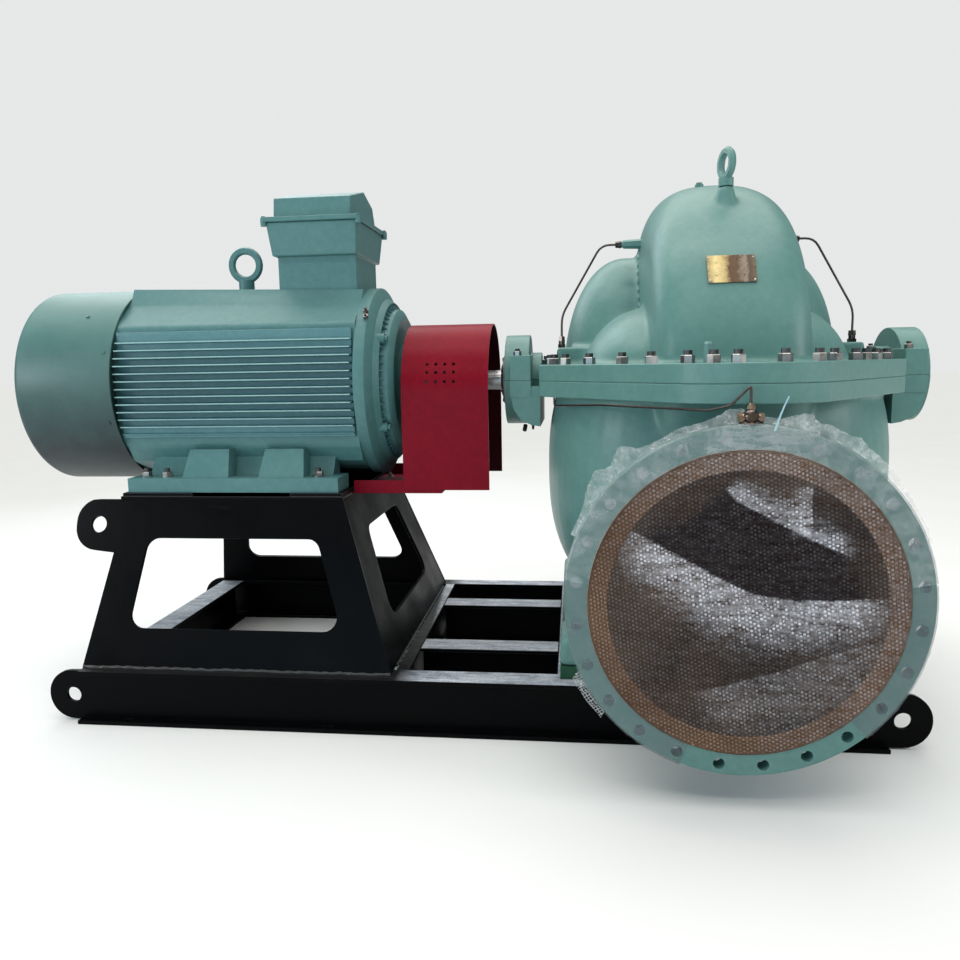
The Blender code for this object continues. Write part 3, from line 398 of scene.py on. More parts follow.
for node in ("stand_front_plate", "stand_rear_plate", "stand_right_plate", "stand_top_plate"):
    finished(node, black_enamel, thin_enamel_and_highlight, radius=0.0018, edge=1)
weld_grey = enamel("weld_grey", (0.030, 0.029, 0.028), 0.40, 0.130)
WELD_Z = 0.1735
for word, first, last, radius in (
    ("front", (-1.220, -0.5515, WELD_Z), (-0.186, -0.5515, WELD_Z), 0.0055),
    ("rear", (-1.220, 0.5515, WELD_Z), (-0.186, 0.5515, WELD_Z), 0.0055),
    ("right", (-0.1845, -0.470, WELD_Z), (-0.1845, 0.470, WELD_Z), 0.0050),
):
    show("stand_" + word + "_weld", bead(first, last, radius), weld_grey)


# Motor frame
# Cast iron body with feet, sprayed in the maker's blue green over filler. The spray lies uneven; the
# fins stand on a skin on each side. Fins and shield ribs take a lighter, bluer copy of the paint,
# painted fill light in the gaps where shade falls, and the fin tips a still lighter one, a painted
# highlight.

def sprayed(name, deep, light, gloss, cast, shine=0.35):
    """Sprayed machine paint: cloudy tone, orange peel, and a cast surface's slow waves."""
    made = Finish(name, 0.4, specular=shine)
    cloudy = made.mottle(2.6, 5.0, 0.6)
    mean = made.maths("MULTIPLY", made.maths("ADD", cloudy, made.mottle(42.0, 5.0, 0.7)), 0.5)
    middle = tuple((a + b) / 2 for a, b in zip(deep, light))
    made.link("Base Color", made.tones(mean, (0.36, deep), (0.52, middle), (0.66, light)))
    made.link("Roughness", made.between(cloudy, *gloss))
    made.relief((made.mottle(26.0, 3.0, 0.5), 0.006, cast), (made.mottle(420.0, 2.0), 0.0006, 0.25))
    return made.material


motor_paint = sprayed("motor_paint", (0.058, 0.156, 0.158), (0.088, 0.204, 0.200), (0.36, 0.52), 0.10)
# A lighter, bluer copy of the motor paint for the fins and ribs: painted fill light in the gaps between
# them.
fin_paint_lit = sprayed(
    "fin_paint_lit", (0.062, 0.168, 0.182), (0.094, 0.222, 0.234), (0.30, 0.44), 0.05, 0.4
)
# Lighter again, for the fins' outer tips: painted highlight.
fin_tip_highlight = sprayed(
    "fin_tip_highlight", (0.210, 0.370, 0.370), (0.290, 0.470, 0.460), (0.28, 0.40), 0.05, 0.5
)
shape = merged("motor_frame")
for vert in shape.verts:
    if vert.co.z > 1.410:
        vert.co.z -= 0.004 + 0.021 * (vert.co.x + 1.170) / 0.830
body = show("motor_frame_finished", shape, motor_paint, replaced=["motor_frame"], smooth=32)
broken_edges(body, 0.005, 3)
for node in ("motor_front_fins", "motor_rear_fins"):
    fins = finished(node, fin_paint_lit, fin_tip_highlight, radius=0.0016)
    # Outer tip faces take the painted highlight.
    for face in fins.data.polygons:
        if abs(face.normal.y) > 0.8 and abs(face.center.y) > 0.305:
            face.material_index = 1


# Fan cover
# Rolled sheet over the fan, sprayed with the body and darkened towards its underside with painted
# shade, with a welded wire grille in its end. Round headed screws hold it to the frame.

def turned(profile, centre, axis, steps):
    """A (radius, height) profile spun about an axis through the centre, closed and facing outwards."""
    shape = bmesh.new()
    points = [shape.verts.new((radius, 0, height)) for radius, height in profile]
    edges = [shape.edges.new(pair) for pair in zip(points, points[1:])]
    if profile[0][0] > 0:
        edges.append(shape.edges.new((points[-1], points[0])))
    bmesh.ops.spin(
        shape, geom=points + edges, cent=(0, 0, 0), axis=(0, 0, 1), angle=2 * math.pi,
        steps=steps, use_merge=True,
    )
    bmesh.ops.remove_doubles(shape, verts=shape.verts, dist=0.00001)
    bmesh.ops.recalc_face_normals(shape, faces=shape.faces)
    lay = {"X": Matrix.Rotation(math.pi / 2, 4, "Y"), "Y": Matrix.Rotation(-math.pi / 2, 4, "X")}
    bmesh.ops.transform(shape, matrix=Matrix.Translation(centre) @ lay[axis], verts=shape.verts)
    return shape


def paint_shaded_below(name):
    """The motor's spray on rolled sheet, darkened towards the underside by painted shade."""
    made = Finish(name, 0.42, specular=0.35)
    cloudy = made.mottle(2.6, 5.0, 0.6)
    paint = made.tones(cloudy, (0.36, (0.066, 0.166, 0.154)), (0.66, (0.092, 0.200, 0.184)))
    # Painted shade: below 1.32 m the paint darkens towards near black at 0.86 m, the boundary broken by
    # noise; clean is the unshaded share.
    height = made.add("SeparateXYZ", {0: made.place}).outputs["Z"]
    shade_wobble = made.between(made.mottle(14.0, 6.0, 0.7), -0.06, 0.06)
    clean = made.maths("ADD", made.span(height, 0.86, 1.32, 0.0, 0.96), shade_wobble)
    made.link("Base Color", made.blend(clean, (0.006, 0.016, 0.020), paint))
    made.link("Roughness", made.between(cloudy, 0.36, 0.52))
    made.relief((made.mottle(26.0, 3.0, 0.5), 0.006, 0.04))
    return made.material


def together(*shapes):
    """Several shapes as one."""
    whole = bmesh.new()
    for part in shapes:
        mesh = mesh_of("part", part)
        whole.from_mesh(mesh)
        bpy.data.meshes.remove(mesh)
    return whole


def rod(start, end, radius, sides=32, end_radius=None):
    """A solid round bar or cone between two points."""
    first, last = Vector(start), Vector(end)
    shape = bmesh.new()
    bmesh.ops.create_cone(
        shape, cap_ends=True, segments=sides, radius1=radius,
        radius2=radius if end_radius is None else end_radius, depth=(last - first).length,
    )
    return aimed(shape, (first + last) / 2, last - first)


SHAFT_Z = 1.080


def off_shaft(x, radius, degrees):
    """A point at an angle round the shaft's line, counted from the rear."""
    turn = math.radians(degrees)
    return Vector((x, radius * math.cos(turn), SHAFT_Z + radius * math.sin(turn)))


cover_paint = paint_shaded_below("cover_paint")
fan_and_shade_dark = enamel("fan_and_shade_dark", (0.006, 0.009, 0.009), 0.10, 0.006)
COVER_X, COVER_R, WIRE = -1.528, 0.348, 0.0028
shell = turned([
    (0.0, 0.3378), (0.335, 0.3378), (0.3395, 0.340), (0.3415, 0.3565), (0.344, 0.357),
    (0.3478, 0.3566), (COVER_R, 0.350), (COVER_R, 0.024), (0.3465, 0.016), (0.342, 0.008),
    (0.334, 0.002), (0.326, 0.0), (0.262, 0.0), (0.258, 0.0040), (0.0, 0.0040),
], (COVER_X, 0, SHAFT_Z), "X", 160)
show("fan_cover_shell", shell, cover_paint, replaced=["fan_cover"], smooth=30)
grille = []
for radius in (0.050, 0.076, 0.102, 0.128, 0.154, 0.180, 0.206, 0.232, 0.256):
    grille.append(turned([
        (radius + WIRE * math.cos(part * math.pi / 4), WIRE * math.sin(part * math.pi / 4))
        for part in range(8)
    ], (COVER_X + 0.0018, 0, SHAFT_Z), "X", 72))
for degrees in range(0, 360, 45):
    inner, outer = (off_shaft(COVER_X + 0.004, radius, degrees + 22.5) for radius in (0.048, 0.262))
    grille.append(rod(inner, outer, 0.0030, 8))
hub = [(COVER_X + deep, 0, SHAFT_Z) for deep in (0.0045, 0.0005)]
grille.append(rod(*hub, 0.052, 32, 0.048))
show("fan_grille", together(*grille), cover_paint)
# A dark disc behind the grille stands for the fan: dark partly in its own colour and partly as painted
# shade inside the cover.
back = [(COVER_X + deep, 0, SHAFT_Z) for deep in (0.0038, 0.0034)]
show("fan_grille_back", rod(*back, 0.2565, 64), fan_and_shade_dark)
screws = [rod((-1.289, -0.2495, 1.3240), (-1.289, -0.2520, 1.3268), 0.0060, 16)]
for degrees in (20, 160, 200, 340):
    low, high = (off_shaft(-1.195, COVER_R + proud, degrees) for proud in (-0.0005, 0.0035))
    screws.append(rod(low, high, 0.0065, 16, 0.0045))
show("fan_cover_screws", together(*screws), cover_paint)


# End shield
# A turned iron casting with a ribbed channel and four bosses, spigoted into the frame's drive end
# and bolted on.

SHIELD_X = -0.3327
shield = turned([
    (0.0560, 0.1177), (0.118, 0.1177), (0.121, 0.1165), (0.134, 0.1060), (0.189, 0.0965),
    (0.194, 0.0975), (0.222, 0.1125), (0.226, 0.1135), (0.231, 0.1120), (0.2555, 0.0990),
    (0.2570, 0.0970), (0.2575, 0.0560), (0.2785, 0.0440), (0.2790, 0.0745), (0.2805, 0.0750),
    (0.2850, 0.0700), (0.295, 0.0560), (0.328, 0.0400), (0.3330, 0.0360), (0.334, 0.0325),
    (0.334, 0.0), (0.0560, 0.0),
], (SHIELD_X, 0, SHAFT_Z), "X", 160)
show("end_shield_casting", shield, motor_paint, replaced=["motor_end_shield"], smooth=28)
ribs = []
for degrees in range(3, 363, 6):
    rib = bmesh.new()
    bmesh.ops.create_cube(rib, size=1.0)
    for vert in rib.verts:
        outer = vert.co.y > 0
        high = (0.0700 if outer else 0.0890) if vert.co.x > 0 else 0.0420
        vert.co = (SHIELD_X + high, 0.2800 if outer else 0.2560, 0.0044 * vert.co.z)
    bmesh.ops.rotate(rib, matrix=Matrix.Rotation(math.radians(degrees), 3, "X"), verts=rib.verts)
    bmesh.ops.translate(rib, vec=(0, 0, SHAFT_Z), verts=rib.verts)
    bmesh.ops.recalc_face_normals(rib, faces=rib.faces)
    ribs.append(rib)
broken_edges(show("end_shield_ribs", together(*ribs), fin_paint_lit), 0.0008, 1)
bosses = []
for degrees in (33, 147, 213, 327):
    root, seat, tip = (off_shaft(x, 0.2740, degrees) for x in (-0.2900, -0.2440, -0.2340))
    bosses += [rod(root, seat, 0.0180, 24, 0.0165), rod(seat, tip, 0.0100, 6)]
show("end_shield_bosses", together(*bosses), motor_paint, smooth=28)


# Terminal box and motor eye
# A cast box with its lid on four screwed lugs, and a forged eye, both bolted to the frame's top and
# sprayed over.

for node, radius in (("terminal_box", 0.0050), ("terminal_lid", 0.0030), ("motor_lifting_eye", 0.0030)):
    shape = merged(node)
    middle = sum((vert.co for vert in shape.verts), Vector()) / len(shape.verts)
    foot = Vector((middle.x, middle.y, min(vert.co.z for vert in shape.verts)))
    for vert in shape.verts:
        if node == "motor_lifting_eye":
            vert.co = foot + (vert.co - foot) * 0.87 - Vector((0, 0, 0.010))
        elif node == "terminal_box" and vert.co.z < foot.z + 0.002:
            vert.co.z -= 0.028
    piece = show(node + "_finished", shape, motor_paint, replaced=[node], smooth=32)
    broken_edges(piece, radius, 3)
lugs = []
for x in (-0.661, -0.332):
    for y in (-0.190, 0.190):
        lugs += [
            rod((x, y, 1.6275), (x, y, 1.6400), 0.0105, 20),
            rod((x, y, 1.6400), (x, y, 1.6465), 0.0075, 6),
            rod((x, y, 1.6140), (x, y, 1.6270), 0.0100, 20, 0.0105),
        ]
show("terminal_lid_lugs", together(*lugs), motor_paint)


# Shaft and coupling
# Ground steel shafts and two cast iron coupling halves, turned and left bare under a film of oil.
# Each half is keyed to the end of its shaft.

def bare_metal(name, colour, rough):
    """Bare metal with fine turning marks and a little tarnish."""
    made = Finish(name, rough[0], metallic=1.0)
    tarnish = made.mottle(30.0, 6.0, 0.65)
    dull = tuple(part * 0.62 for part in colour)
    made.link("Base Color", made.tones(tarnish, (0.34, dull), (0.60, colour)))
    made.link("Roughness", made.between(tarnish, *rough))
    made.relief((made.mottle(600.0, 2.0), 0.0003, 0.2))
    return made.material


ground_steel = bare_metal("ground_steel", (0.62, 0.62, 0.63), (0.22, 0.40))
dark_iron = bare_metal("dark_iron", (0.20, 0.19, 0.18), (0.40, 0.60))
for node, metal in (
    ("motor_shaft", ground_steel), ("pump_shaft", ground_steel),
    ("motor_coupling_half", dark_iron), ("pump_coupling_half", dark_iron),
):
    finished(node, metal, body="rotor")


# Coupling guard
# Sheet folded to an arch in crimson enamel, drilled for air on one side. Its inside takes a dark copy of
# the enamel, painted shade, and its cut rims a light one, painted highlight. It stands on a shallow tray
# that four bolts hold to the stand.

crimson = sprayed(
    "crimson_enamel", (0.170, 0.0042, 0.0130), (0.235, 0.0060, 0.0185), (0.30, 0.42), 0.05, 0.06
)
# Dark copy of the crimson for the arch's inside: painted shade.
shaded_crimson = sprayed(
    "shaded_inner_crimson", (0.030, 0.003, 0.006), (0.055, 0.004, 0.009), (0.5, 0.7), 0.05, 0.05
)
# Light copy of the crimson for the sheet's rims: painted highlight.
rim_highlight = sprayed("crimson_edge_highlight", (0.42, 0.05, 0.07), (0.62, 0.16, 0.19), (0.25, 0.35), 0.02, 0.5)


def worked(shape, *steps):
    """The shape after modifiers: (kind, settings) pairs, where a cutter shape becomes an object."""
    blank = placed("work", mesh_of("work", shape))
    helpers = [blank]
    for kind, settings in steps:
        step = blank.modifiers.new("step", kind)
        for key, value in settings.items():
            if isinstance(value, bmesh.types.BMesh):
                value = placed("tool", mesh_of("tool", value))
                helpers.append(value)
            setattr(step, key, value)
    ready = blank.evaluated_get(bpy.context.evaluated_depsgraph_get())
    made = bmesh.new()
    made.from_mesh(ready.to_mesh())
    for helper in helpers:
        bpy.data.objects.remove(helper, do_unlink=True)
    return made


def bored(shape, *cutters):
    """The shape with the cutters taken out of it."""
    cut = {"operation": "DIFFERENCE", "solver": "MANIFOLD"}
    return worked(shape, *(("BOOLEAN", {**cut, "object": cutter}) for cutter in cutters))


HOOD_LEFT, HOOD_LONG, HOOD_Z, HOOD_R, HOOD_LOW = -0.192, 0.295, 1.035, 0.245, 0.715
hood = bmesh.new()
line = [hood.verts.new((HOOD_LEFT, -HOOD_R, height)) for height in (HOOD_LOW, HOOD_Z)]
hood.edges.new(line)
arc = bmesh.ops.spin(
    hood, geom=[line[1]], cent=(HOOD_LEFT, 0, HOOD_Z), axis=(-1, 0, 0), angle=math.pi, steps=48
)["geom_last"]
hood.edges.new((arc[0], hood.verts.new((HOOD_LEFT, HOOD_R, HOOD_LOW))))
pulled = bmesh.ops.extrude_edge_only(hood, edges=hood.edges[:])["geom"]
bmesh.ops.translate(
    hood, vec=(HOOD_LONG, 0, 0), verts=[part for part in pulled if isinstance(part, bmesh.types.BMVert)]
)
bmesh.ops.recalc_face_normals(hood, faces=hood.faces)
hood = worked(hood, ("SOLIDIFY", {"thickness": 0.004, "offset": -1.0}))
holes = []
for x in (-0.104, -0.074, -0.044, -0.014):
    for y, z in ((-0.2214, 1.1400), (-0.2324, 1.1130), (-0.2404, 1.0822)):
        away = Vector((0, y, z - HOOD_Z)).normalized()
        middle = Vector((x, 0, HOOD_Z)) + away * HOOD_R
        holes.append(rod(middle - away * 0.02, middle + away * 0.02, 0.0055, 16))
hood = bored(hood, together(*holes))
# Rims and lower edges take the painted highlight; faces inside the arch take the painted shade.
for face in hood.faces:
    middle = face.calc_center_median()
    reach = abs(middle.y) if middle.z < HOOD_Z else math.hypot(middle.y, middle.z - HOOD_Z)
    if abs(face.normal.x) > 0.9 or face.normal.z < -0.9 and middle.z < HOOD_LOW + 0.01:
        face.material_index = 2
    elif reach < HOOD_R - 0.0030:
        face.material_index = 1
show(
    "guard_hood", hood, crimson, shaded_crimson, rim_highlight, replaced=["coupling_guard"], smooth=30
)
finished("guard_bracket", crimson, radius=0.0008)
bolts = []
for x in (-0.330, -0.225):
    for y in (-0.150, 0.150):
        bolts += [
            rod((x, y, 0.7075), (x, y, 0.7095), 0.0140, 24),
            rod((x, y, 0.7095), (x, y, 0.7175), 0.0095, 6),
            rod((x, y, 0.7175), (x, y, 0.7235), 0.0050, 12),
        ]
show("tray_bolts", together(*bolts), ground_steel, smooth=25)


# Upper casing
# A heavy iron casting on a level flange at shaft height, fettled, filled and sprayed in the maker's
# green. The volute, the side passages and the bosses run together in fillets.

PUMP_X, VOXEL = 0.839, 0.0085
pump_paint = sprayed("pump_paint", (0.080, 0.192, 0.176), (0.116, 0.242, 0.218), (0.30, 0.46), 0.14)


def block(low, high):
    """A rectangular block between two corners."""
    shape = bmesh.new()
    bmesh.ops.create_cube(shape, size=1.0)
    low, high = Vector(low), Vector(high)
    bmesh.ops.scale(shape, vec=high - low, verts=shape.verts)
    bmesh.ops.translate(shape, vec=(high + low) / 2, verts=shape.verts)
    return shape


def swollen(centre, radii, power):
    """A rounded casting body, between an ellipsoid and a box."""
    shape = bmesh.new()
    bmesh.ops.create_uvsphere(shape, u_segments=64, v_segments=48, radius=1.0)
    for vert in shape.verts:
        size = sum(abs(part) ** power for part in vert.co) ** (1 / power)
        vert.co = Vector(centre) + Vector(part / size * radius for part, radius in zip(vert.co, radii))
    return shape


def volute():
    """The ring about the shaft, rounder over the top and squarer at the front and rear."""
    middle, radius, half = 0.837, 0.632, 0.2235
    shape = bmesh.new()
    bmesh.ops.create_uvsphere(shape, u_segments=128, v_segments=48, radius=1.0)
    for vert in shape.verts:
        rim = math.hypot(vert.co.x, vert.co.y)
        around = math.atan2(vert.co.y, vert.co.x)
        power = 2.55 + 1.8 * math.cos(around) ** 2
        side = math.copysign(half * abs(vert.co.z) ** (2 / power), vert.co.z)
        reach = 0.0 if rim < 0.001 else radius - half + half * rim ** (2 / power)
        vert.co = (middle + side, -reach * math.cos(around), SHAFT_Z + reach * math.sin(around))
    bmesh.ops.recalc_face_normals(shape, faces=shape.faces)
    return shape


def split_plate(low, high, grow=0.0):
    """The split flange's outline, wide in the middle and narrow at the bearings, as a plate."""
    half_x, end_y, mid_x, mid_y = 0.564 + grow, 0.290 + grow * 0.6, 0.130 + grow * 0.4, 0.885 + grow
    shape = bmesh.new()
    corners = [
        (half_x, -end_y), (half_x, end_y), (mid_x, mid_y), (-mid_x, mid_y),
        (-half_x, end_y), (-half_x, -end_y), (-mid_x, -mid_y), (mid_x, -mid_y),
    ]
    points = [shape.verts.new((PUMP_X + x, y, low)) for x, y in corners]
    shape.faces.new(points)
    middle = [vert for vert in points if abs(vert.co.y) > 0.5]
    ends = [vert for vert in points if abs(vert.co.y) < 0.5]
    for verts, reach, count in ((middle, 0.1016, 14), (ends, 0.0098, 4)):
        bmesh.ops.bevel(
            shape, geom=verts, offset=reach, segments=count, profile=0.5, affect="VERTICES",
            offset_type="OFFSET", material=-1, clamp_overlap=False,
        )
    grown = bmesh.ops.extrude_face_region(shape, geom=shape.faces[:])
    upper = [part for part in grown["geom"] if isinstance(part, bmesh.types.BMVert)]
    bmesh.ops.translate(shape, vec=(0, 0, high - low), verts=upper)
    bmesh.ops.recalc_face_normals(shape, faces=shape.faces)
    return shape


def fused(shape, rounds):
    """Overlapping bodies run into one skin, with the corners between them filled as in a casting."""
    made = worked(shape, ("REMESH", {"mode": "VOXEL", "voxel_size": VOXEL}))
    for _ in range(rounds):
        bmesh.ops.smooth_vert(
            made, verts=made.verts, factor=0.5, use_axis_x=True, use_axis_y=True, use_axis_z=True
        )
    return made


def sliced(shape, place, facing):
    """Cuts away what lies beyond a plane and closes the cut."""
    whole = shape.verts[:] + shape.edges[:] + shape.faces[:]
    cut = bmesh.ops.bisect_plane(
        shape, geom=whole, plane_co=place, plane_no=facing, clear_outer=True, dist=0.00001
    )
    rim = [part for part in cut["geom_cut"] if isinstance(part, bmesh.types.BMEdge)]
    bmesh.ops.edgeloop_fill(shape, edges=rim)


def split_flange(name, low, high, node):
    """Half of the split flange, with the shaft's room bored through it."""
    shaft_room = rod((PUMP_X - 1, 0, SHAFT_Z), (PUMP_X + 1, 0, SHAFT_Z), 0.041)
    plate = bored(split_plate(low, high), shaft_room)
    broken_edges(show(name, plate, pump_paint, replaced=[node]), 0.0025)


bodies = [volute(), split_plate(SHAFT_Z - 0.030, SHAFT_Z + 0.0505, -0.007)]
for side in (-1, 1):
    near, far = sorted((PUMP_X + side * 0.400, PUMP_X + side * 0.512))
    bodies += [
        swollen((PUMP_X + side * 0.262, 0.235, SHAFT_Z), (0.228, 0.300, 0.440), 2.1),
        swollen((PUMP_X + side * 0.200, -0.130, SHAFT_Z), (0.225, 0.345, 0.235), 2.0),
        block((near, -0.085, SHAFT_Z - 0.030), (far, 0.085, SHAFT_Z + 0.110)),
    ]
bodies.append(rod((0.838, -0.350, 1.516), (0.838, -0.350, 1.650), 0.046, 32, 0.025))
upper = fused(together(*bodies), 6)
sliced(upper, (0, 0, SHAFT_Z + 0.012), (0, 0, -1))
show("upper_casting", upper, pump_paint, replaced=["upper_casing"], smooth=180)
split_flange("upper_split_flange", SHAFT_Z + GAP / 2, SHAFT_Z + 0.052, "upper_casing")
dashes = []
for x, y, z in (
    (0.6145, 0.0219, 1.5224), (0.6140, 0.0569, 1.5029), (0.6133, 0.0670, 1.4766),
    (0.6120, 0.0455, 1.4467), (0.6107, 0.0244, 1.4171), (0.6111, 0.0031, 1.3878),
    (0.6117, -0.0151, 1.3590), (0.6125, -0.0316, 1.3307),
):
    dash = bmesh.new()
    bmesh.ops.create_uvsphere(dash, u_segments=12, v_segments=8, radius=1.0)
    bmesh.ops.scale(dash, vec=(0.0065, 0.0150, 0.0050), verts=dash.verts)
    bmesh.ops.rotate(dash, matrix=Matrix.Rotation(math.radians(40), 3, "X"), verts=dash.verts)
    bmesh.ops.translate(dash, vec=(x, y - 0.004, z), verts=dash.verts)
    dashes.append(dash)
show("dome_weld_dashes", together(*dashes), pump_paint, smooth=180)
FLUSH_Z = SHAFT_Z + 0.460
bosses = [
    rod((0.790, -0.140, 1.676), (0.790, -0.140, 1.700), 0.0140, 16),
    rod((0.790, -0.140, 1.700), (0.790, -0.140, 1.706), 0.0105, 6),
]
for tip, shoulder, root in ((0.5500, 0.5575, 0.660), (1.1240, 1.1165, 1.014)):
    bosses += [
        rod((shoulder, 0, FLUSH_Z), (root, 0, FLUSH_Z), 0.0145, 6, 0.0190),
        rod((tip, 0, FLUSH_Z), (shoulder, 0, FLUSH_Z), 0.0100, 20, 0.0125),
    ]
show("casing_bosses", together(*bosses), pump_paint, smooth=28)


# Lower casing
# The lower iron casting takes the rest of the volute, both nozzle roots and four legs that stand
# on 40 mm pads. It is finished like the upper one and bored where the nozzles start.

SUCTION = {"bore": 0.340, "neck": 0.3585, "rim": 0.445, "pitch": 0.418, "holes": 24, "side": -1}
DISCHARGE = {"bore": 0.300, "neck": 0.322, "rim": 0.390, "pitch": 0.3625, "holes": 20, "side": 1}
NOZZLE_X, NOZZLE_Z, FACE_Y, ROOT_Y = 0.808, 0.538, 0.946, 0.620


def tapered(low_z, high_z, low, high):
    """A block whose lower and upper faces are the rectangles (x0, x1, y0, y1) low and high."""
    shape = block((0, 0, low_z), (1, 1, high_z))
    for vert in shape.verts:
        x0, x1, y0, y1 = high if vert.co.z > (low_z + high_z) / 2 else low
        vert.co.x = x1 if vert.co.x > 0.5 else x0
        vert.co.y = y1 if vert.co.y > 0.5 else y0
    return shape


def nozzle_rod(size, start, end, radius):
    """A round bar along a nozzle's line, between two distances from the shaft."""
    first, last = ((NOZZLE_X, size["side"] * y, NOZZLE_Z) for y in (start, end))
    return rod(first, last, radius, 96)


LEG_LOW = BASE_TOP + 0.040 + 2 * GAP
bodies = [
    volute(), swollen((0.849, 0, 0.780), (0.551, 0.600, 0.540), 2.6),
    split_plate(SHAFT_Z - 0.0485, SHAFT_Z + 0.030, -0.007),
]
bodies += [nozzle_rod(size, 0.0, 0.660, size["neck"] + 0.002) for size in (SUCTION, DISCHARGE)]
for side_x in (-1, 1):
    for side_y in (-1, 1):
        low_y = sorted((side_y * 0.540, side_y * 0.330))
        high_y = sorted((side_y * 0.430, side_y * 0.250))
        deep, inner, outer = (PUMP_X + side_x * reach for reach in (0.300, 0.364, 0.494))
        bodies += [
            block((min(outer, inner), low_y[0], LEG_LOW), (max(outer, inner), low_y[1], 0.290)),
            tapered(
                0.280, 0.520, (*sorted((outer - side_x * 0.015, deep)), *low_y),
                (*sorted((outer - side_x * 0.060, deep)), *high_y),
            ),
        ]
lower = fused(together(*bodies), 5)
sliced(lower, (0, 0, SHAFT_Z - 0.012), (0, 0, 1))
for size in (SUCTION, DISCHARGE):
    sliced(lower, (0, size["side"] * (ROOT_Y - 0.0005), 0), (0, size["side"], 0))
lower = bored(lower, *(nozzle_rod(size, 0.35, 0.66, size["bore"]) for size in (SUCTION, DISCHARGE)))
show("lower_casting", lower, pump_paint, replaced=["lower_casing"], smooth=50)
split_flange("lower_split_flange", SHAFT_Z - 0.050, SHAFT_Z - GAP / 2, "lower_casing")


# Nozzles
# Rolled steel necks welded to drilled flanges with machined faces, painted over with the casing.
# The fillet weld runs round where the neck meets the flange.

def off_nozzle(size, y, index):
    """The place of a flange hole, counted round from the right, at a distance from the shaft."""
    angle = 2 * math.pi * (index + 0.5) / size["holes"]
    x = NOZZLE_X + size["pitch"] * math.cos(angle)
    return (x, size["side"] * y, NOZZLE_Z + size["pitch"] * math.sin(angle))


def outward(size, profile, start):
    """A profile that grows away from the pump, turned about the nozzle's own line."""
    side = size["side"]
    return turned(
        [(radius, side * height) for radius, height in profile],
        (NOZZLE_X, side * start, NOZZLE_Z), "Y", 144,
    )


THICK, EASE, TRIM = 0.046, 0.0025, 0.0007
for word, size in (("suction", SUCTION), ("discharge", DISCHARGE)):
    bore, neck, rim = size["bore"], size["neck"], size["rim"]
    length = FACE_Y - THICK - GAP - ROOT_Y
    pipe = outward(size, [
        (bore, length), (neck + 0.012, length), (neck + 0.010, length - 0.005),
        (neck + 0.004, length - 0.011), (neck, length - 0.014), (neck, 0.0), (bore, 0.0),
    ], ROOT_Y)
    show(word + "_neck_pipe", pipe, pump_paint, replaced=[word + "_neck"])
    ring = outward(size, [
        (bore, THICK), (rim - EASE, THICK), (rim - TRIM, THICK - TRIM), (rim, THICK - EASE),
        (rim, EASE), (rim - TRIM, TRIM), (rim - EASE, 0.0), (bore, 0.0),
    ], FACE_Y - THICK)
    holes = [
        rod(off_nozzle(size, 0.85, index), off_nozzle(size, 1.0, index), 0.0150, 24)
        for index in range(size["holes"])
    ]
    ring = bored(ring, together(*holes))
    show(word + "_drilled_flange", ring, pump_paint, replaced=[word + "_flange"], smooth=30)


# Brown face ring
# The raised face of the suction flange, turned with the flange and brushed with tan rust
# preventive that dried in rings.

def preventive(name):
    """Tan grease paint over turned steel, streaked round the ring."""
    made = Finish(name, 0.35, specular=0.5)
    centred = made.add("Mapping", {"Vector": made.place, "Location": (-NOZZLE_X, 0, -NOZZLE_Z)})
    rings = made.add("TexWave", {
        "Vector": centred.outputs["Vector"], "Scale": 70.0, "Distortion": 2.5, "Detail": 3.0,
        "Detail Scale": 2.0,
    }, wave_type="RINGS", rings_direction="Y").outputs["Fac"]
    made.link("Base Color", made.tones(
        rings, (0.15, (0.16, 0.085, 0.045)), (0.55, (0.27, 0.155, 0.085)), (0.9, (0.42, 0.27, 0.16))
    ))
    made.link("Roughness", made.between(made.mottle(20.0), 0.25, 0.5))
    made.relief((rings, 0.0006, 0.5))
    return made.material


ring = outward(SUCTION, [
    (0.345, 0.0), (0.3455, 0.0025), (0.347, 0.003), (0.386, 0.003), (0.388, 0.0015), (0.388, 0.0),
], FACE_Y + 0.0002)
show("suction_raised_face", ring, preventive("tan_face"))


# Casing studs and nuts
# Zinc plated hexagon nuts on studs round the split flange, their dark stud ends standing a few
# threads proud, and a green jacking plug in the middle of the front.

def hex_nut(place, up, across, height, stud, proud, turn):
    """A hexagon nut with broken corners, and the end of its stud as the second material."""
    nut = bmesh.new()
    radius = across / math.sqrt(3)
    bmesh.ops.create_cone(
        nut, cap_ends=True, segments=6, radius1=radius, radius2=radius, depth=height
    )
    crown = [edge for edge in nut.edges if all(vert.co.z > 0 for vert in edge.verts)]
    bmesh.ops.bevel(
        nut, geom=crown, offset=across * 0.06, segments=1, profile=0.5, affect="EDGES", material=-1
    )
    bmesh.ops.rotate(nut, matrix=Matrix.Rotation(turn, 3, "Z"), verts=nut.verts)
    bmesh.ops.translate(nut, vec=(0, 0, height / 2), verts=nut.verts)
    tip = rod((0, 0, height * 0.6), (0, 0, height + proud), stud, 12)
    for face in tip.faces:
        face.material_index = 1
    return aimed(together(nut, tip), place, up)


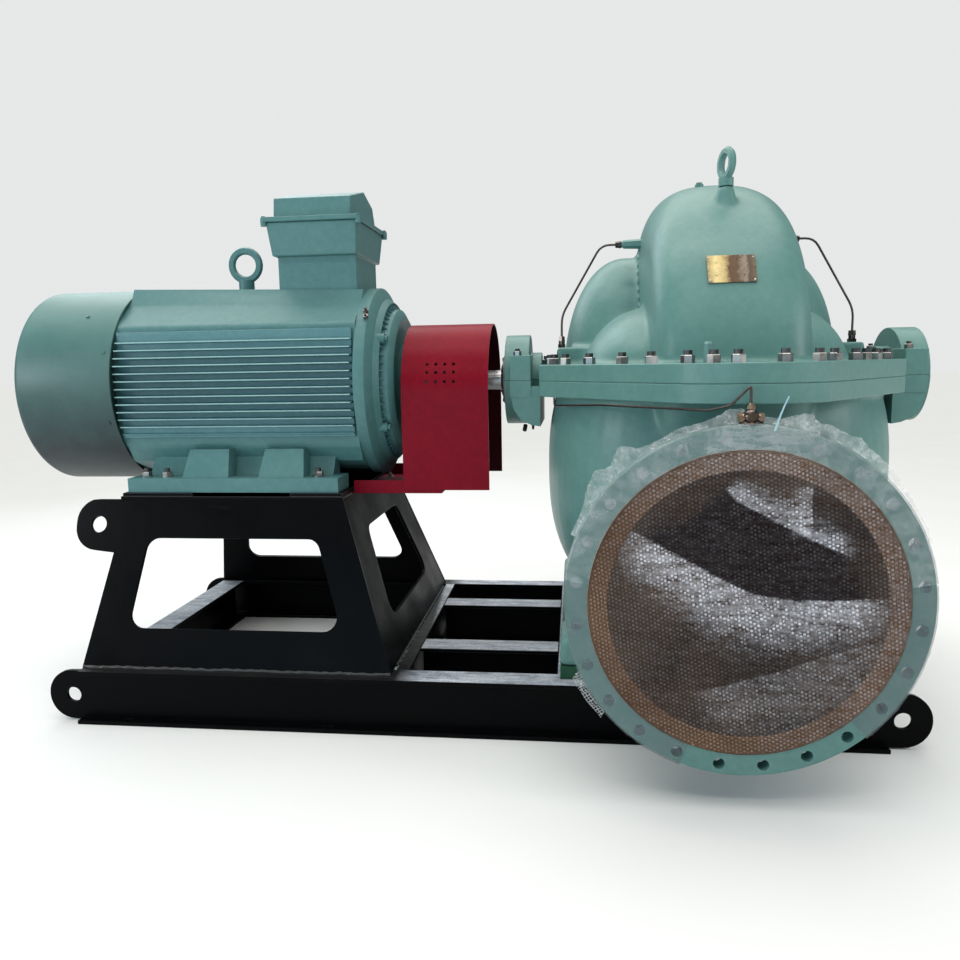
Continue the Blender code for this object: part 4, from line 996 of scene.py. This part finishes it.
bright_zinc = bare_metal("bright_zinc", (0.31, 0.30, 0.29), (0.24, 0.40))
stud_black = bare_metal("stud_black", (0.085, 0.080, 0.080), (0.32, 0.50))
SEAT_Z = SHAFT_Z + 0.052
SPLIT_STUDS = (
    (0.528, 0.165), (0.505, 0.283), (0.442, 0.375), (0.387, 0.453), (0.333, 0.532), (0.233, 0.676),
    (0.169, 0.768), (0.067, 0.844), (-0.047, 0.848), (-0.103, 0.831), (-0.160, 0.781),
    (-0.242, 0.663), (-0.314, 0.558), (-0.405, 0.427), (-0.478, 0.322), (-0.514, 0.269),
    (-0.530, 0.175),
)
nuts = []
for side in (-1, 1):
    for index, (x, y) in enumerate(SPLIT_STUDS, 1):
        place = (PUMP_X + x, side * y, SEAT_Z)
        nuts.append(hex_nut(place, (0, 0, 1), 0.032, 0.021, 0.0115, 0.012, 0.7 * index + side))
for side in (-1, 1):
    for y in (-0.100, 0.100):
        place = (PUMP_X + side * 0.548, y, SEAT_Z)
        nuts.append(hex_nut(place, (0, 0, 1), 0.024, 0.018, 0.008, 0.012, y))
show("casing_nuts", together(*nuts), bright_zinc, stud_black, smooth=25)
foot, neck, crown = ((PUMP_X - 0.112, -0.800, SEAT_Z + up) for up in (0.0, 0.048, 0.054))
plug = together(rod(foot, neck, 0.0120, 20, 0.0115), rod(neck, crown, 0.0115, 20, 0.0070))
show("jacking_plug", plug, pump_paint)


# Bearings
# Cast housings split at the shaft like the casing, their caps held on the ears by two bolts. A dark
# ring cover closes the drive end, and a plate with six screws the outer end.

def screw_ring(name, x, radius, way, finish):
    """Six small screws on a circle about the shaft."""
    heads = [
        hex_nut(
            off_shaft(x, radius, degrees), (way, 0, 0), 0.013, 0.0055, 0.003, 0.0008,
            math.radians(degrees),
        ) for degrees in range(30, 390, 60)
    ]
    show(name, together(*heads), finish, stud_black, smooth=25)


for node in (
    "drive_bearing_housing", "drive_bearing_cap", "outer_bearing_housing", "outer_bearing_cap",
):
    finished(node, pump_paint, radius=0.003, segments=3)
COVER_SEAT, END_SEAT = 0.1497, 1.5280
cover = turned([
    (0.039, 0.0), (0.039, -0.020), (0.052, -0.020), (0.055, -0.0185), (0.060, -0.0125),
    (0.072, -0.0125), (0.083, -0.0125), (0.085, -0.0105), (0.085, 0.0),
], (COVER_SEAT, 0, SHAFT_Z), "X", 64)
show("drive_ring_cover", cover, dark_iron, replaced=["drive_bearing_cover"])
screw_ring("ring_cover_screws", COVER_SEAT - 0.0125, 0.072, -1, stud_black)
bolts = []
for x in (0.1975, 1.4510):
    for side in (-1, 1):
        place = (x, side * 0.170, SHAFT_Z + 0.084)
        bolts.append(hex_nut(place, (0, 0, 1), 0.024, 0.015, 0.008, 0.008, 0.4 + side))
show("bearing_cap_bolts", together(*bolts), bright_zinc, stud_black, smooth=25)
end_plate = turned([
    (0.0, 0.0), (0.088, 0.0), (0.0895, 0.0015), (0.0895, 0.0065), (0.088, 0.0080),
    (0.060, 0.0080), (0.056, 0.0092), (0.0, 0.0092),
], (END_SEAT, 0, SHAFT_Z), "X", 64)
show("outer_end_plate", end_plate, pump_paint, smooth=28)
screw_ring("outer_end_screws", END_SEAT + 0.0080, 0.074, 1, bright_zinc)
drains = [
    rod((0.219, -0.105, 0.924), (0.216, -0.118, 0.906), 0.0075, 12),
    rod((0.243, -0.060, 0.926), (0.243, -0.064, 0.905), 0.0060, 12, 0.0035),
]
show("bearing_drain_plugs", together(*drains), stud_black)


# Casing eye and foot pads
# A drop forged lifting eye, screwed down on the boss in front of the casing's crown, and painted
# steel pads that the casing's legs stand on.

finished("pump_lifting_eye", pump_paint, radius=0.003)
seat_green = sprayed("seat_green", (0.006, 0.050, 0.022), (0.010, 0.075, 0.034), (0.5, 0.7), 0.05)
for node in ("left_foot_pad", "right_foot_pad"):
    finished(node, seat_green, radius=0.0006)


# Nameplate
# A bare thin metal plate with a gold ground, worn and tarnished unevenly, with a painted highlight
# as a light band towards its right end, that four rivets hold on the dome's slope.

def etched_plate(name):
    """Thin plate with a gold ground, bright at its left, dull brown at its right and worn between, with
    a painted highlight in a light band towards the right.
    """
    made = Finish(name, 0.28, metallic=0.75)
    across = made.add("SeparateXYZ", {0: made.place}).outputs["X"]
    wavy = made.mottle(55.0, 5.0, 0.7)
    along = made.maths("ADD", across, made.between(wavy, -0.010, 0.010))
    # The light stop at 0.78 is a painted highlight; the rest is the gold ground, tarnish and wear.
    made.link("Base Color", made.tones(
        made.span(along, 0.758, 0.890, 0.0, 1.0), (0.00, (0.30, 0.23, 0.11)),
        (0.20, (0.62, 0.50, 0.25)), (0.36, (0.46, 0.34, 0.16)), (0.46, (0.10, 0.060, 0.038)),
        (0.62, (0.12, 0.075, 0.048)), (0.78, (0.26, 0.21, 0.17)), (0.86, (0.085, 0.060, 0.045)),
        (1.0, (0.15, 0.115, 0.075)),
    ))
    made.link("Roughness", made.between(wavy, 0.22, 0.42))
    made.relief((made.mottle(240.0, 3.0), 0.0006, 0.35))
    return made.material


finished("nameplate", etched_plate("gold_ground"), radius=0.0006)
rivets = []
for x in (0.7635, 0.8845):
    for share in (0.09, 0.91):
        y, z = -0.5763 + 0.0465 * share, 1.3493 + 0.0800 * share
        low, high = (x, y - 0.0030, z - 0.0018), (x, y + 0.0040, z + 0.0022)
        rivets.append(rod(low, high, 0.0026, 12, 0.0032))
show("plate_rivets", together(*rivets), ground_steel)


# Flush and seal tubes
# Thin drawn steel tubes, bent by hand and held by compression unions, that lead water from the
# dome's sides to the seal pads and from the vent valve to the drive end's seal.

tube_steel = bare_metal("tube_steel", (0.10, 0.085, 0.078), (0.28, 0.45))
valve_metal = bare_metal("valve_metal", (0.12, 0.095, 0.085), (0.12, 0.24))
for node, thinner in (
    ("left_flush_tube", 0.0022), ("right_flush_tube", 0.0022), ("front_seal_tube", 0.0016),
):
    shape = merged(node)
    shape.normal_update()
    for vert in shape.verts:
        vert.co -= vert.normal * thinner
    show(node + "_finished", shape, tube_steel, replaced=[node], smooth=50)
unions = []
for x, dome_x, away in ((0.344, 0.5500, -1), (1.330, 1.1240, 1)):
    base, nut, neck, tip = ((x, 0, SHAFT_Z + up) for up in (0.1105, 0.122, 0.134, 0.150))
    unions += [
        rod(base, nut, 0.0150, 6), rod(nut, neck, 0.0110, 20), rod(neck, tip, 0.0130, 6, 0.0115),
        rod((dome_x, 0, FLUSH_Z), (dome_x + away * 0.020, 0, FLUSH_Z), 0.0130, 6, 0.0105),
    ]
show("tube_unions", together(*unions), valve_metal, smooth=25)


# Vent valve
# A small turned ball valve body with brass nuts on three sides, screwed into the top of the suction
# flange's rim.

VALVE_X = 0.810
valve = bmesh.new()
bmesh.ops.create_uvsphere(valve, u_segments=24, v_segments=16, radius=0.0200)
bmesh.ops.translate(valve, vec=(VALVE_X, -0.926, 1.0030), verts=valve.verts)
valve_nuts = together(
    rod((VALVE_X, -0.923, 0.9835), (VALVE_X, -0.923, 0.9940), 0.0185, 6),
    rod((VALVE_X, -0.923, 1.0190), (VALVE_X, -0.923, 1.0300), 0.0110, 6),
    rod((VALVE_X, -0.923, 1.0150), (VALVE_X, -0.923, 1.0360), 0.0080, 20),
    rod((0.800, -0.925, 1.0020), (0.786, -0.926, 0.9990), 0.0115, 16),
    rod((0.789, -0.926, 0.9995), (0.779, -0.927, 0.9980), 0.0140, 6),
    rod((0.820, -0.925, 1.0020), (0.834, -0.926, 0.9990), 0.0115, 16),
    rod((0.831, -0.926, 0.9995), (0.840, -0.927, 0.9980), 0.0135, 6),
    rod((VALVE_X, -0.940, 1.0030), (VALVE_X, -0.9515, 1.0045), 0.0115, 6),
)
valve_brass = bare_metal("valve_brass", (0.27, 0.19, 0.135), (0.14, 0.28))
show("vent_valve_nuts", valve_nuts, valve_brass, smooth=25)
show("vent_valve", valve, valve_metal, replaced=["vent_fitting"], smooth=28)


# Bubble wrap over the suction
# One sheet of clear bubble wrap drawn over the machined face. It sags into the bore in long creases and
# lies flat over the brown ring. Its colour is laid on: over the bore dark umber, partly the bore's own
# brown and partly its painted shade; along each crease's lower flank a painted highlight, above it
# painted shade; and painted glints on the bubbles.

# Creases: each with its line, its depth, its reach on either side, the strength and width of the painted
# highlight along its lower flank (with any milkiness of stretched film), and the strength of the painted
# shade above it.
CREASES = (
    {"line": ((-0.300, 0.200), (-0.210, 0.146), (-0.113, 0.091), (-0.040, 0.050), (0.030, 0.018),
              (0.127, 0.004), (0.243, 0.011), (0.345, 0.028)),
     "depth": 0.030, "reach": (0.085, 0.050), "milk_and_highlight": (0.66, 0.112), "dark": 1.0},
    {"line": ((0.250, 0.120), (0.167, 0.157), (0.066, 0.210), (-0.027, 0.261), (-0.060, 0.300)),
     "depth": 0.013, "reach": (0.035, 0.040), "milk_and_highlight": (0.58, 0.050), "dark": 0.9},
    {"line": ((0.148, 0.305), (0.150, 0.240), (0.155, 0.165)),
     "depth": 0.008, "reach": (0.012, 0.012), "milk_and_highlight": (0.40, 0.050), "dark": 0.5},
    {"line": ((-0.130, -0.235), (-0.020, -0.205), (0.090, -0.170), (0.200, -0.130), (0.345, -0.075)),
     "depth": 0.008, "reach": (0.090, 0.040), "milk_and_highlight": (0.16, 0.150), "dark": 0.25},
    {"line": ((-0.160, 0.060), (-0.060, -0.040), (0.080, -0.120), (0.200, -0.110)),
     "depth": -0.006, "reach": (0.050, 0.050), "milk_and_highlight": (0.0, 0.1), "dark": 0.0},
    {"line": ((-0.330, 0.050), (-0.200, -0.010), (-0.060, -0.110)),
     "depth": 0.005, "reach": (0.030, 0.030), "milk_and_highlight": (0.0, 0.1), "dark": 0.0},
)
SAG_R, RING_R = 0.342, 0.338


def wrap_front(x, z):
    """How far the wrap stands out from the flange at a point, and how much painted highlight and painted
    shade it carries there.
    """
    radius = math.hypot(x, z)
    inside = max(0.0, 1.0 - (radius / SAG_R) ** 2)
    height = 0.0042 - 0.012 * inside ** 0.5
    milk_and_highlight, dark = 0.0, 0.0
    for crease in CREASES:
        line, depth = crease["line"], crease["depth"]
        nearest, across, along = 9.0, 0.0, 0.0
        for index, (first, last) in enumerate(zip(line, line[1:])):
            run_x, run_z = last[0] - first[0], last[1] - first[1]
            length = math.hypot(run_x, run_z)
            part = ((x - first[0]) * run_x + (z - first[1]) * run_z) / length ** 2
            held = min(1.0, max(0.0, part))
            off = math.hypot(x - first[0] - held * run_x, z - first[1] - held * run_z)
            if off < nearest:
                turn = (x - first[0]) * run_z - (z - first[1]) * run_x
                nearest, across = off, math.copysign(off, turn)
                along = (index + part) / (len(line) - 1)
        reach = crease["reach"][0 if across > 0 else 1]
        ends = min(1.0, max(0.0, 4 * along)) * min(1.0, max(0.0, 4 * (1 - along)))
        height -= depth * math.exp(-abs(across) / reach) * ends * min(1.0, 3.5 * inside)
        strength, width = crease["milk_and_highlight"]
        width *= 0.62 + 0.38 * math.sin(math.pi * min(1.0, max(0.0, along)))
        ends = min(1.0, 2 * ends)
        # Below the crease line: painted highlight; above it: painted shade, which also clears the
        # highlight in a dark core.
        if across > 0:
            milk_and_highlight += strength * math.exp(-(across / width) ** 3.2) * ends
        else:
            milk_and_highlight *= 1.0 - crease["dark"] * math.exp(-(abs(across) / 0.012) ** 2) * ends
            dark += crease["dark"] * math.exp(-(abs(across) / 0.150) ** 1.7) * ends
    # Over the ring the highlight mask is painted highlight on the ring's upper and right parts.
    if radius > RING_R:
        milk_and_highlight = 0.30 * max(0.0, z / radius - 0.55) + 0.12 * max(0.0, x / radius)
    place = Vector((x * 9, z * 9, 3.1))
    height += 0.005 * noise.noise(place) * inside + 0.0012 * noise.noise(place * 6)
    return height, min(1.0, milk_and_highlight), min(1.0, dark)


def clear_wrap(name, rough, shine, low, glint):
    """Film coloured as it looks: dark umber over the bore, partly the bore's own brown and partly
    painted shade, tan over the ring, with painted highlight along the creases, painted shade above them
    and painted glints.
    """
    made = Finish(name, rough, specular=shine)

    def dimmed(*colour):
        return tuple(low * part for part in colour)

    centre = {0: made.place, 1: (NOZZLE_X, 0.0, NOZZLE_Z)}
    shift = made.add("VectorMath", centre, operation="SUBTRACT").outputs[0]
    flat = made.add("VectorMath", {0: shift, 1: (1.0, 0.0, 1.0)}, operation="MULTIPLY").outputs[0]
    radius = made.add("VectorMath", {0: flat}, operation="LENGTH").outputs["Value"]
    over_ring = made.span(radius, 0.337, 0.3395, 0.0, 1.0)
    milk_and_highlight, dark = (made.add("Attribute", attribute_name=word).outputs["Fac"] for word in ("milk_and_highlight", "dark"))
    # Over the bore: umber patches, partly the bore's own brown and partly painted shade, going near
    # black where the dark mask lays painted shade above the creases.
    umber = made.tones(
        made.mottle(4.0, 4.0), (0.36, dimmed(0.036, 0.024, 0.018)), (0.62, dimmed(0.100, 0.066, 0.047))
    )
    deep = made.blend(dark, umber, (0.0095, 0.0045, 0.0045))
    waves = made.add("TexWave", {
        "Vector": flat, "Scale": 88.0, "Distortion": 1.6, "Detail": 4.0, "Detail Scale": 2.0,
    }, wave_type="RINGS", rings_direction="Y").outputs["Fac"]
    brown = made.tones(
        made.maths("MULTIPLY", waves, made.mottle(7.0, 4.0)), (0.05, dimmed(0.075, 0.036, 0.020)),
        (0.30, dimmed(0.140, 0.076, 0.044)), (0.60, dimmed(0.300, 0.185, 0.115)),
    )
    behind = made.blend(over_ring, deep, brown)
    # Random bubble cells turned white: painted glints.
    cells = made.add("TexVoronoi", {"Vector": made.place, "Scale": 105.0, "Randomness": 1.0})
    chance = made.add("SeparateColor", {0: cells.outputs["Color"]}).outputs[0]
    spark = made.span(chance, 0.35, 0.95, 0.0, glint)
    drawn = made.mottle(1.6, 6.0, 0.75, made.stretched((9.0, 1.0, 62.0), 0.30))
    grain = made.maths("MULTIPLY", made.maths("ADD", drawn, made.mottle(80.0, 6.0, 0.85)), 0.5)
    bright = made.maths("ADD", spark, made.between(grain, -0.45, 1.25))
    # The pale colour laid on along the creases and on the ring's top is painted highlight, streaked
    # along the creases.
    amount = made.maths("MULTIPLY", made.maths("ADD", milk_and_highlight, 0.045), bright)
    made.link("Base Color", made.blend(made.maths("MINIMUM", amount, 0.95), behind, (0.72, 0.71, 0.76)))
    made.link("Roughness", made.between(made.mottle(14.0, 4.0), rough * 0.6, rough * 1.6))
    made.relief((made.mottle(60.0, 4.0), 0.004, 0.35), (made.mottle(320.0, 3.0), 0.0008, 0.5))
    return made.material


def milky(piece):
    """Keeps the painted highlight and painted shade of the film at each point of a piece for its
    material.
    """
    for slot, word in ((1, "milk_and_highlight"), (2, "dark")):
        marks = piece.data.attributes.new(word, "FLOAT", "POINT")
        for vert, mark in zip(piece.data.vertices, marks.data):
            mark.value = wrap_front(vert.co.x - NOZZLE_X, vert.co.z - NOZZLE_Z)[slot]


# The bubbles take a brighter copy of the film (1.15 against 0.60) with glints: painted highlight on the
# bubbles.
clear_film = clear_wrap("clear_film", 0.30, 0.03, 0.60, 0.0)
clear_bubble = clear_wrap("clear_bubble", 0.09, 0.10, 1.15, 1.3)
WRAP_R = 0.387
wrap_shape = bmesh.new()
bmesh.ops.create_grid(wrap_shape, x_segments=150, y_segments=150, size=1.0)
for vert in wrap_shape.verts:
    u, v = vert.co.x, vert.co.y
    x, z = WRAP_R * u * math.sqrt(1 - v * v / 2), WRAP_R * v * math.sqrt(1 - u * u / 2)
    vert.co = (NOZZLE_X + x, -FACE_Y - wrap_front(x, z)[0], NOZZLE_Z + z)
wrap_sheet = show("suction_bubble_wrap", wrap_shape, clear_film, replaced=["suction_wrap"], smooth=180)
milky(wrap_sheet)

PITCH_X, PITCH_Z = 0.0104, 0.0180
bubble_shape = bmesh.new()
for shift_x, shift_z in ((0.0, 0.0), (PITCH_X / 2, PITCH_Z / 2)):
    dome = bmesh.ops.create_cone(
        bubble_shape, cap_ends=False, segments=6, radius1=0.0040, radius2=0.0024, depth=0.0022
    )["verts"]
    bmesh.ops.translate(bubble_shape, vec=(shift_x, shift_z, 0.0), verts=dome)
tops = [edge for edge in bubble_shape.edges if all(vert.co.z > 0 for vert in edge.verts)]
bmesh.ops.edgeloop_fill(bubble_shape, edges=tops)
rows = {"use_relative_offset": False, "use_constant_offset": True}
bubble_rows = worked(
    bubble_shape,
    ("ARRAY", {**rows, "count": 75, "constant_offset_displace": (PITCH_X, 0.0, 0.0)}),
    ("ARRAY", {**rows, "count": 44, "constant_offset_displace": (0.0, PITCH_Z, 0.0)}),
)
bmesh.ops.translate(bubble_rows, vec=(-WRAP_R, -WRAP_R, 0.0), verts=bubble_rows.verts)
bmesh.ops.rotate(
    bubble_rows, matrix=Matrix.Rotation(math.radians(-24), 3, "Z"), verts=bubble_rows.verts
)
outside = [vert for vert in bubble_rows.verts if math.hypot(vert.co.x, vert.co.y) > 0.383]
bmesh.ops.delete(bubble_rows, geom=outside, context="VERTS")
for vert in bubble_rows.verts:
    x, z, proud = vert.co
    vert.co = (NOZZLE_X + x, -FACE_Y - wrap_front(x, z)[0] - proud - 0.0006, NOZZLE_Z + z)
bmesh.ops.recalc_face_normals(bubble_rows, faces=bubble_rows.faces)
bubbles = show("wrap_bubbles", bubble_rows, clear_bubble, smooth=75)
milky(bubbles)


# Stretch film round the flange
# Thin clear film wound over the flange's face and rim from the upper left to the right. Its torn
# edge stands up behind the rim in frayed tongues, and it is gathered in a bunch under the vent.

GATHER = (0.845, -0.950, 0.965)
TONGUES = (
    (94, 0.020, 7.0), (135, 0.034, 6), (127, 0.026, 4), (143, 0.020, 5), (71, 0.030, 7),
    (58, 0.024, 5), (47, 0.018, 6), (112, 0.006, 6),
)
RIM_R, TORN_LONG = 0.450, 0.010


def film_finish(name, low, high, dark=(0.62, 0.66, 0.66), light=(0.92, 0.93, 0.92), gathered=0.0):
    """Clear plastic film: nearly invisible where smooth, milky where it is creased or gathered."""
    made = Finish(name, 0.14, specular=0.8)
    crease = made.mottle(26.0, 8.0, 0.75)
    if gathered:
        apart = made.add("VectorMath", {0: made.place, 1: GATHER}, operation="DISTANCE")
        near = made.span(apart.outputs["Value"], 0.02, 0.17, gathered, 0.0)
        pulled = made.mottle(1.4, 6.0, 0.7, made.stretched((9.0, 1.0, 70.0), 0.25))
        share = made.maths("MULTIPLY", near, made.between(pulled, -0.10, 1.0))
        crease = made.maths("ADD", crease, share)
    made.link("Base Color", made.tones(crease, (0.35, dark), (0.65, light)))
    made.link("Alpha", made.between(crease, low, high))
    made.relief((crease, 0.012, 0.7), (made.mottle(130.0, 5.0, 0.7), 0.003, 0.6))
    return made.material


def film_ring(start, stop, profile, steps, lift):
    """Film swept round the nozzle's line from one angle to another, wrinkled across its run."""
    shape = bmesh.new()
    points = [shape.verts.new((radius, -FACE_Y - proud, 0)) for radius, proud in profile]
    edges = [shape.edges.new(pair) for pair in zip(points, points[1:])]
    bmesh.ops.spin(
        shape, geom=points + edges, cent=(0, 0, 0), axis=(0, -1, 0),
        angle=math.radians(stop - start), steps=steps,
    )
    for vert in shape.verts:
        radius = math.hypot(vert.co.x, vert.co.z)
        turn = math.atan2(vert.co.z, vert.co.x) % (2 * math.pi) + math.radians(start)
        far = max(0.0, radius - RIM_R) / TORN_LONG
        height = sum(
            size * math.exp(-((math.degrees(turn) - angle) / width) ** 2)
            for angle, size, width in TONGUES
        )
        fray = noise.noise(Vector((turn * 14, far * 0.5, 1.0)))
        fray += 0.25 * noise.noise(Vector((turn * 50, far, 5.0)))
        radius += lift * far * max(0.0005, height * (0.85 + 0.55 * fray) + 0.002)
        wrinkle = noise.noise(Vector((turn * 36 + radius * 14, radius * 12, 2.0)))
        crumple = noise.noise(Vector((turn * 80, radius * 30, 9.0)))
        deep = vert.co.y - 0.0022 * wrinkle - 0.0008 * crumple
        deep -= lift * far * (0.010 * wrinkle + 0.004 * crumple)
        vert.co = (NOZZLE_X + radius * math.cos(turn), deep, NOZZLE_Z + radius * math.sin(turn))
    return shape


face_film = film_finish("face_film", 0.22, 0.50, (0.18, 0.20, 0.21), (0.50, 0.54, 0.55), 0.45)
thin_film = film_finish("thin_film", 0.24, 0.40, (0.13, 0.15, 0.17), (0.24, 0.27, 0.29))
torn_film = film_finish("torn_film", 0.08, 0.52)
band = film_ring(8, 172, [
    (0.388, 0.0060), (0.400, 0.0035), (0.412, 0.0030), (0.424, 0.0030), (0.436, 0.0035),
    (0.444, 0.0035), (0.4485, 0.0010), (0.4495, -0.0050), (0.4495, -0.0130), (0.4500, -0.0210),
], 300, 0.0)
band_piece = show("flange_film", band, face_film, smooth=180)
for word, start, stop, length in (("left", 172.5, 250, 0.61), ("right", -48, 7.5, 0.44)):
    band = film_ring(start, stop, [
        (0.388, 0.0050), (0.400, 0.0026), (0.412, 0.0020), (0.424, 0.0020), (0.436, 0.0024),
        (0.444, 0.0024), (0.4480, 0.0008), (0.4486, -0.0050), (0.4490, -0.0130), (0.4490, -0.0180),
    ], 140, 0.0)
    side_piece = show("flange_film_" + word, band, thin_film, smooth=180)
frill = film_ring(20, 158, [
    (0.4500, -0.0130), (0.4510, -0.0150), (0.4520, -0.0165), (0.4530, -0.0175), (0.4540, -0.0185),
    (0.4550, -0.0190), (0.4560, -0.0195), (0.4570, -0.0200), (0.4580, -0.0203), (0.4590, -0.0206),
    (0.4600, -0.0208),
], 460, 1.0)
frill_piece = show("film_frill", frill, torn_film, smooth=180)


# Film over the flange holes
# Where the film lies over a bolt hole it stands flat and pale over the dark, lighter at the top,
# where it is drawn tight in several layers.

disc_film = film_finish("disc_film", 0.50, 0.80, (0.26, 0.36, 0.37), (0.40, 0.50, 0.51))
dull_film = film_finish("dull_film", 0.30, 0.55, (0.06, 0.12, 0.13), (0.12, 0.20, 0.21))
for word, finish, picked in (
    ("upper", disc_film, range(2, 12)), ("lower", dull_film, (0, 1, 12, 13, 14, 15, 22, 23)),
):
    discs = [
        rod(
            off_nozzle(SUCTION, FACE_Y + 0.0004, index), off_nozzle(SUCTION, FACE_Y + 0.0014, index),
            0.0148, 24,
        ) for index in picked
    ]
    show("film_over_holes_" + word, together(*discs), finish)


# Wrap scrap
# A torn end of the film, gathered into fine white lines, that hangs behind the flange's lower left
# rim.

def lined_film(name):
    """Clear film gathered into fine white lines, with nothing to see between them."""
    made = Finish(name, 0.2, specular=0.5)
    made.link("Base Color", made.tones(
        made.mottle(50.0), (0.3, (0.46, 0.47, 0.46)), (0.7, (0.80, 0.81, 0.79))
    ))
    lines = [
        made.add("TexWave", {
            "Vector": made.stretched((1.0, 1.0, 1.0), turn), "Scale": 42.0, "Distortion": 3.0,
            "Detail": 2.0, "Detail Scale": 1.5,
        }, bands_direction="Z").outputs["Fac"] for turn in (0.5, -0.9)
    ]
    top = made.maths("MAXIMUM", *lines)
    made.link("Alpha", made.span(top, 0.78, 0.97, 0.06, 0.85))
    made.relief((top, 0.004, 0.6))
    return made.material


scrap = bmesh.new()
bmesh.ops.create_grid(scrap, x_segments=36, y_segments=44, size=1.0)
for vert in scrap.verts:
    u, v = vert.co.x, vert.co.y
    radius = 0.452 + 0.022 * u + 0.006 * noise.noise(Vector((u * 2, v * 2, 7.0)))
    turn = math.radians(213 + 8.0 * v + 1.5 * u)
    fold = 0.006 * noise.noise(Vector((u * 3, v * 5, 3.0))) + 0.003 * math.sin(9 * v + 4 * u)
    x, z = NOZZLE_X + radius * math.cos(turn), NOZZLE_Z + radius * math.sin(turn) - 0.010
    vert.co = (x, -FACE_Y + 0.058 + fold, z)
scrap_piece = show("wrap_scrap", scrap, lined_film("lined_film"), smooth=180)


# Cable tie
# The loose end of a moulded nylon tie, pale blue with fine teeth, that holds the film at the top
# of the flange.

def nylon(name):
    """Pale blue nylon strap with its fine ladder of teeth."""
    made = Finish(name, 0.35, specular=0.5)
    made.link("Base Color", made.tones(
        made.mottle(40.0), (0.3, (0.30, 0.52, 0.58)), (0.7, (0.42, 0.64, 0.70))
    ))
    teeth = made.add("TexWave", {"Vector": made.place, "Scale": 220.0}, bands_direction="Z")
    made.relief((teeth.outputs["Fac"], 0.0006, 0.5))
    return made.material


tie = tapered(0.0, 0.082, (-0.0026, 0.0026, -0.0008, 0.0008), (-0.0016, 0.0016, -0.0006, 0.0006))
long_edges = [edge for edge in tie.edges if abs(edge.verts[0].co.z - edge.verts[1].co.z) > 0.01]
bmesh.ops.subdivide_edges(tie, edges=long_edges, cuts=8)
for vert in tie.verts:
    vert.co.x += 0.26 * vert.co.z + 1.1 * vert.co.z ** 2
    vert.co.y += -0.5 * vert.co.z ** 2
bmesh.ops.translate(tie, vec=(0.8615, -0.9505, 0.970), verts=tie.verts)
show("cable_tie_end", tie, nylon("blue_nylon"))


# Motor feet and fittings
# Hexagon bolts with washers hold the feet to the stand, and two plated plugs show at the frame's
# drive end.

FOOT_Z = SHAFT_Z - 0.307
bolts = []
for x in (-1.077, -1.003, -0.467, -0.590):
    for y in (-0.318, 0.318):
        bolts += [
            hex_nut((x, y, FOOT_Z), (0, 0, 1), 0.030, 0.018, 0.009, 0.012, x * 9),
            rod((x, y, FOOT_Z), (x, y, FOOT_Z + 0.0035), 0.0190, 24),
        ]
show("motor_foot_bolts", together(*bolts), bright_zinc, stud_black, smooth=25)
plugs = [
    hex_nut(place, away, 0.016, 0.010, 0.005, 0.006, 0.3) for place, away in (
        ((-0.304, -0.2350, 1.317), (0, -0.66, 0.75)), ((-0.300, -0.2560, 1.2990), (0, -0.75, 0.66)),
    )
]
show("frame_plugs", together(*plugs), bright_zinc, stud_black, smooth=25)
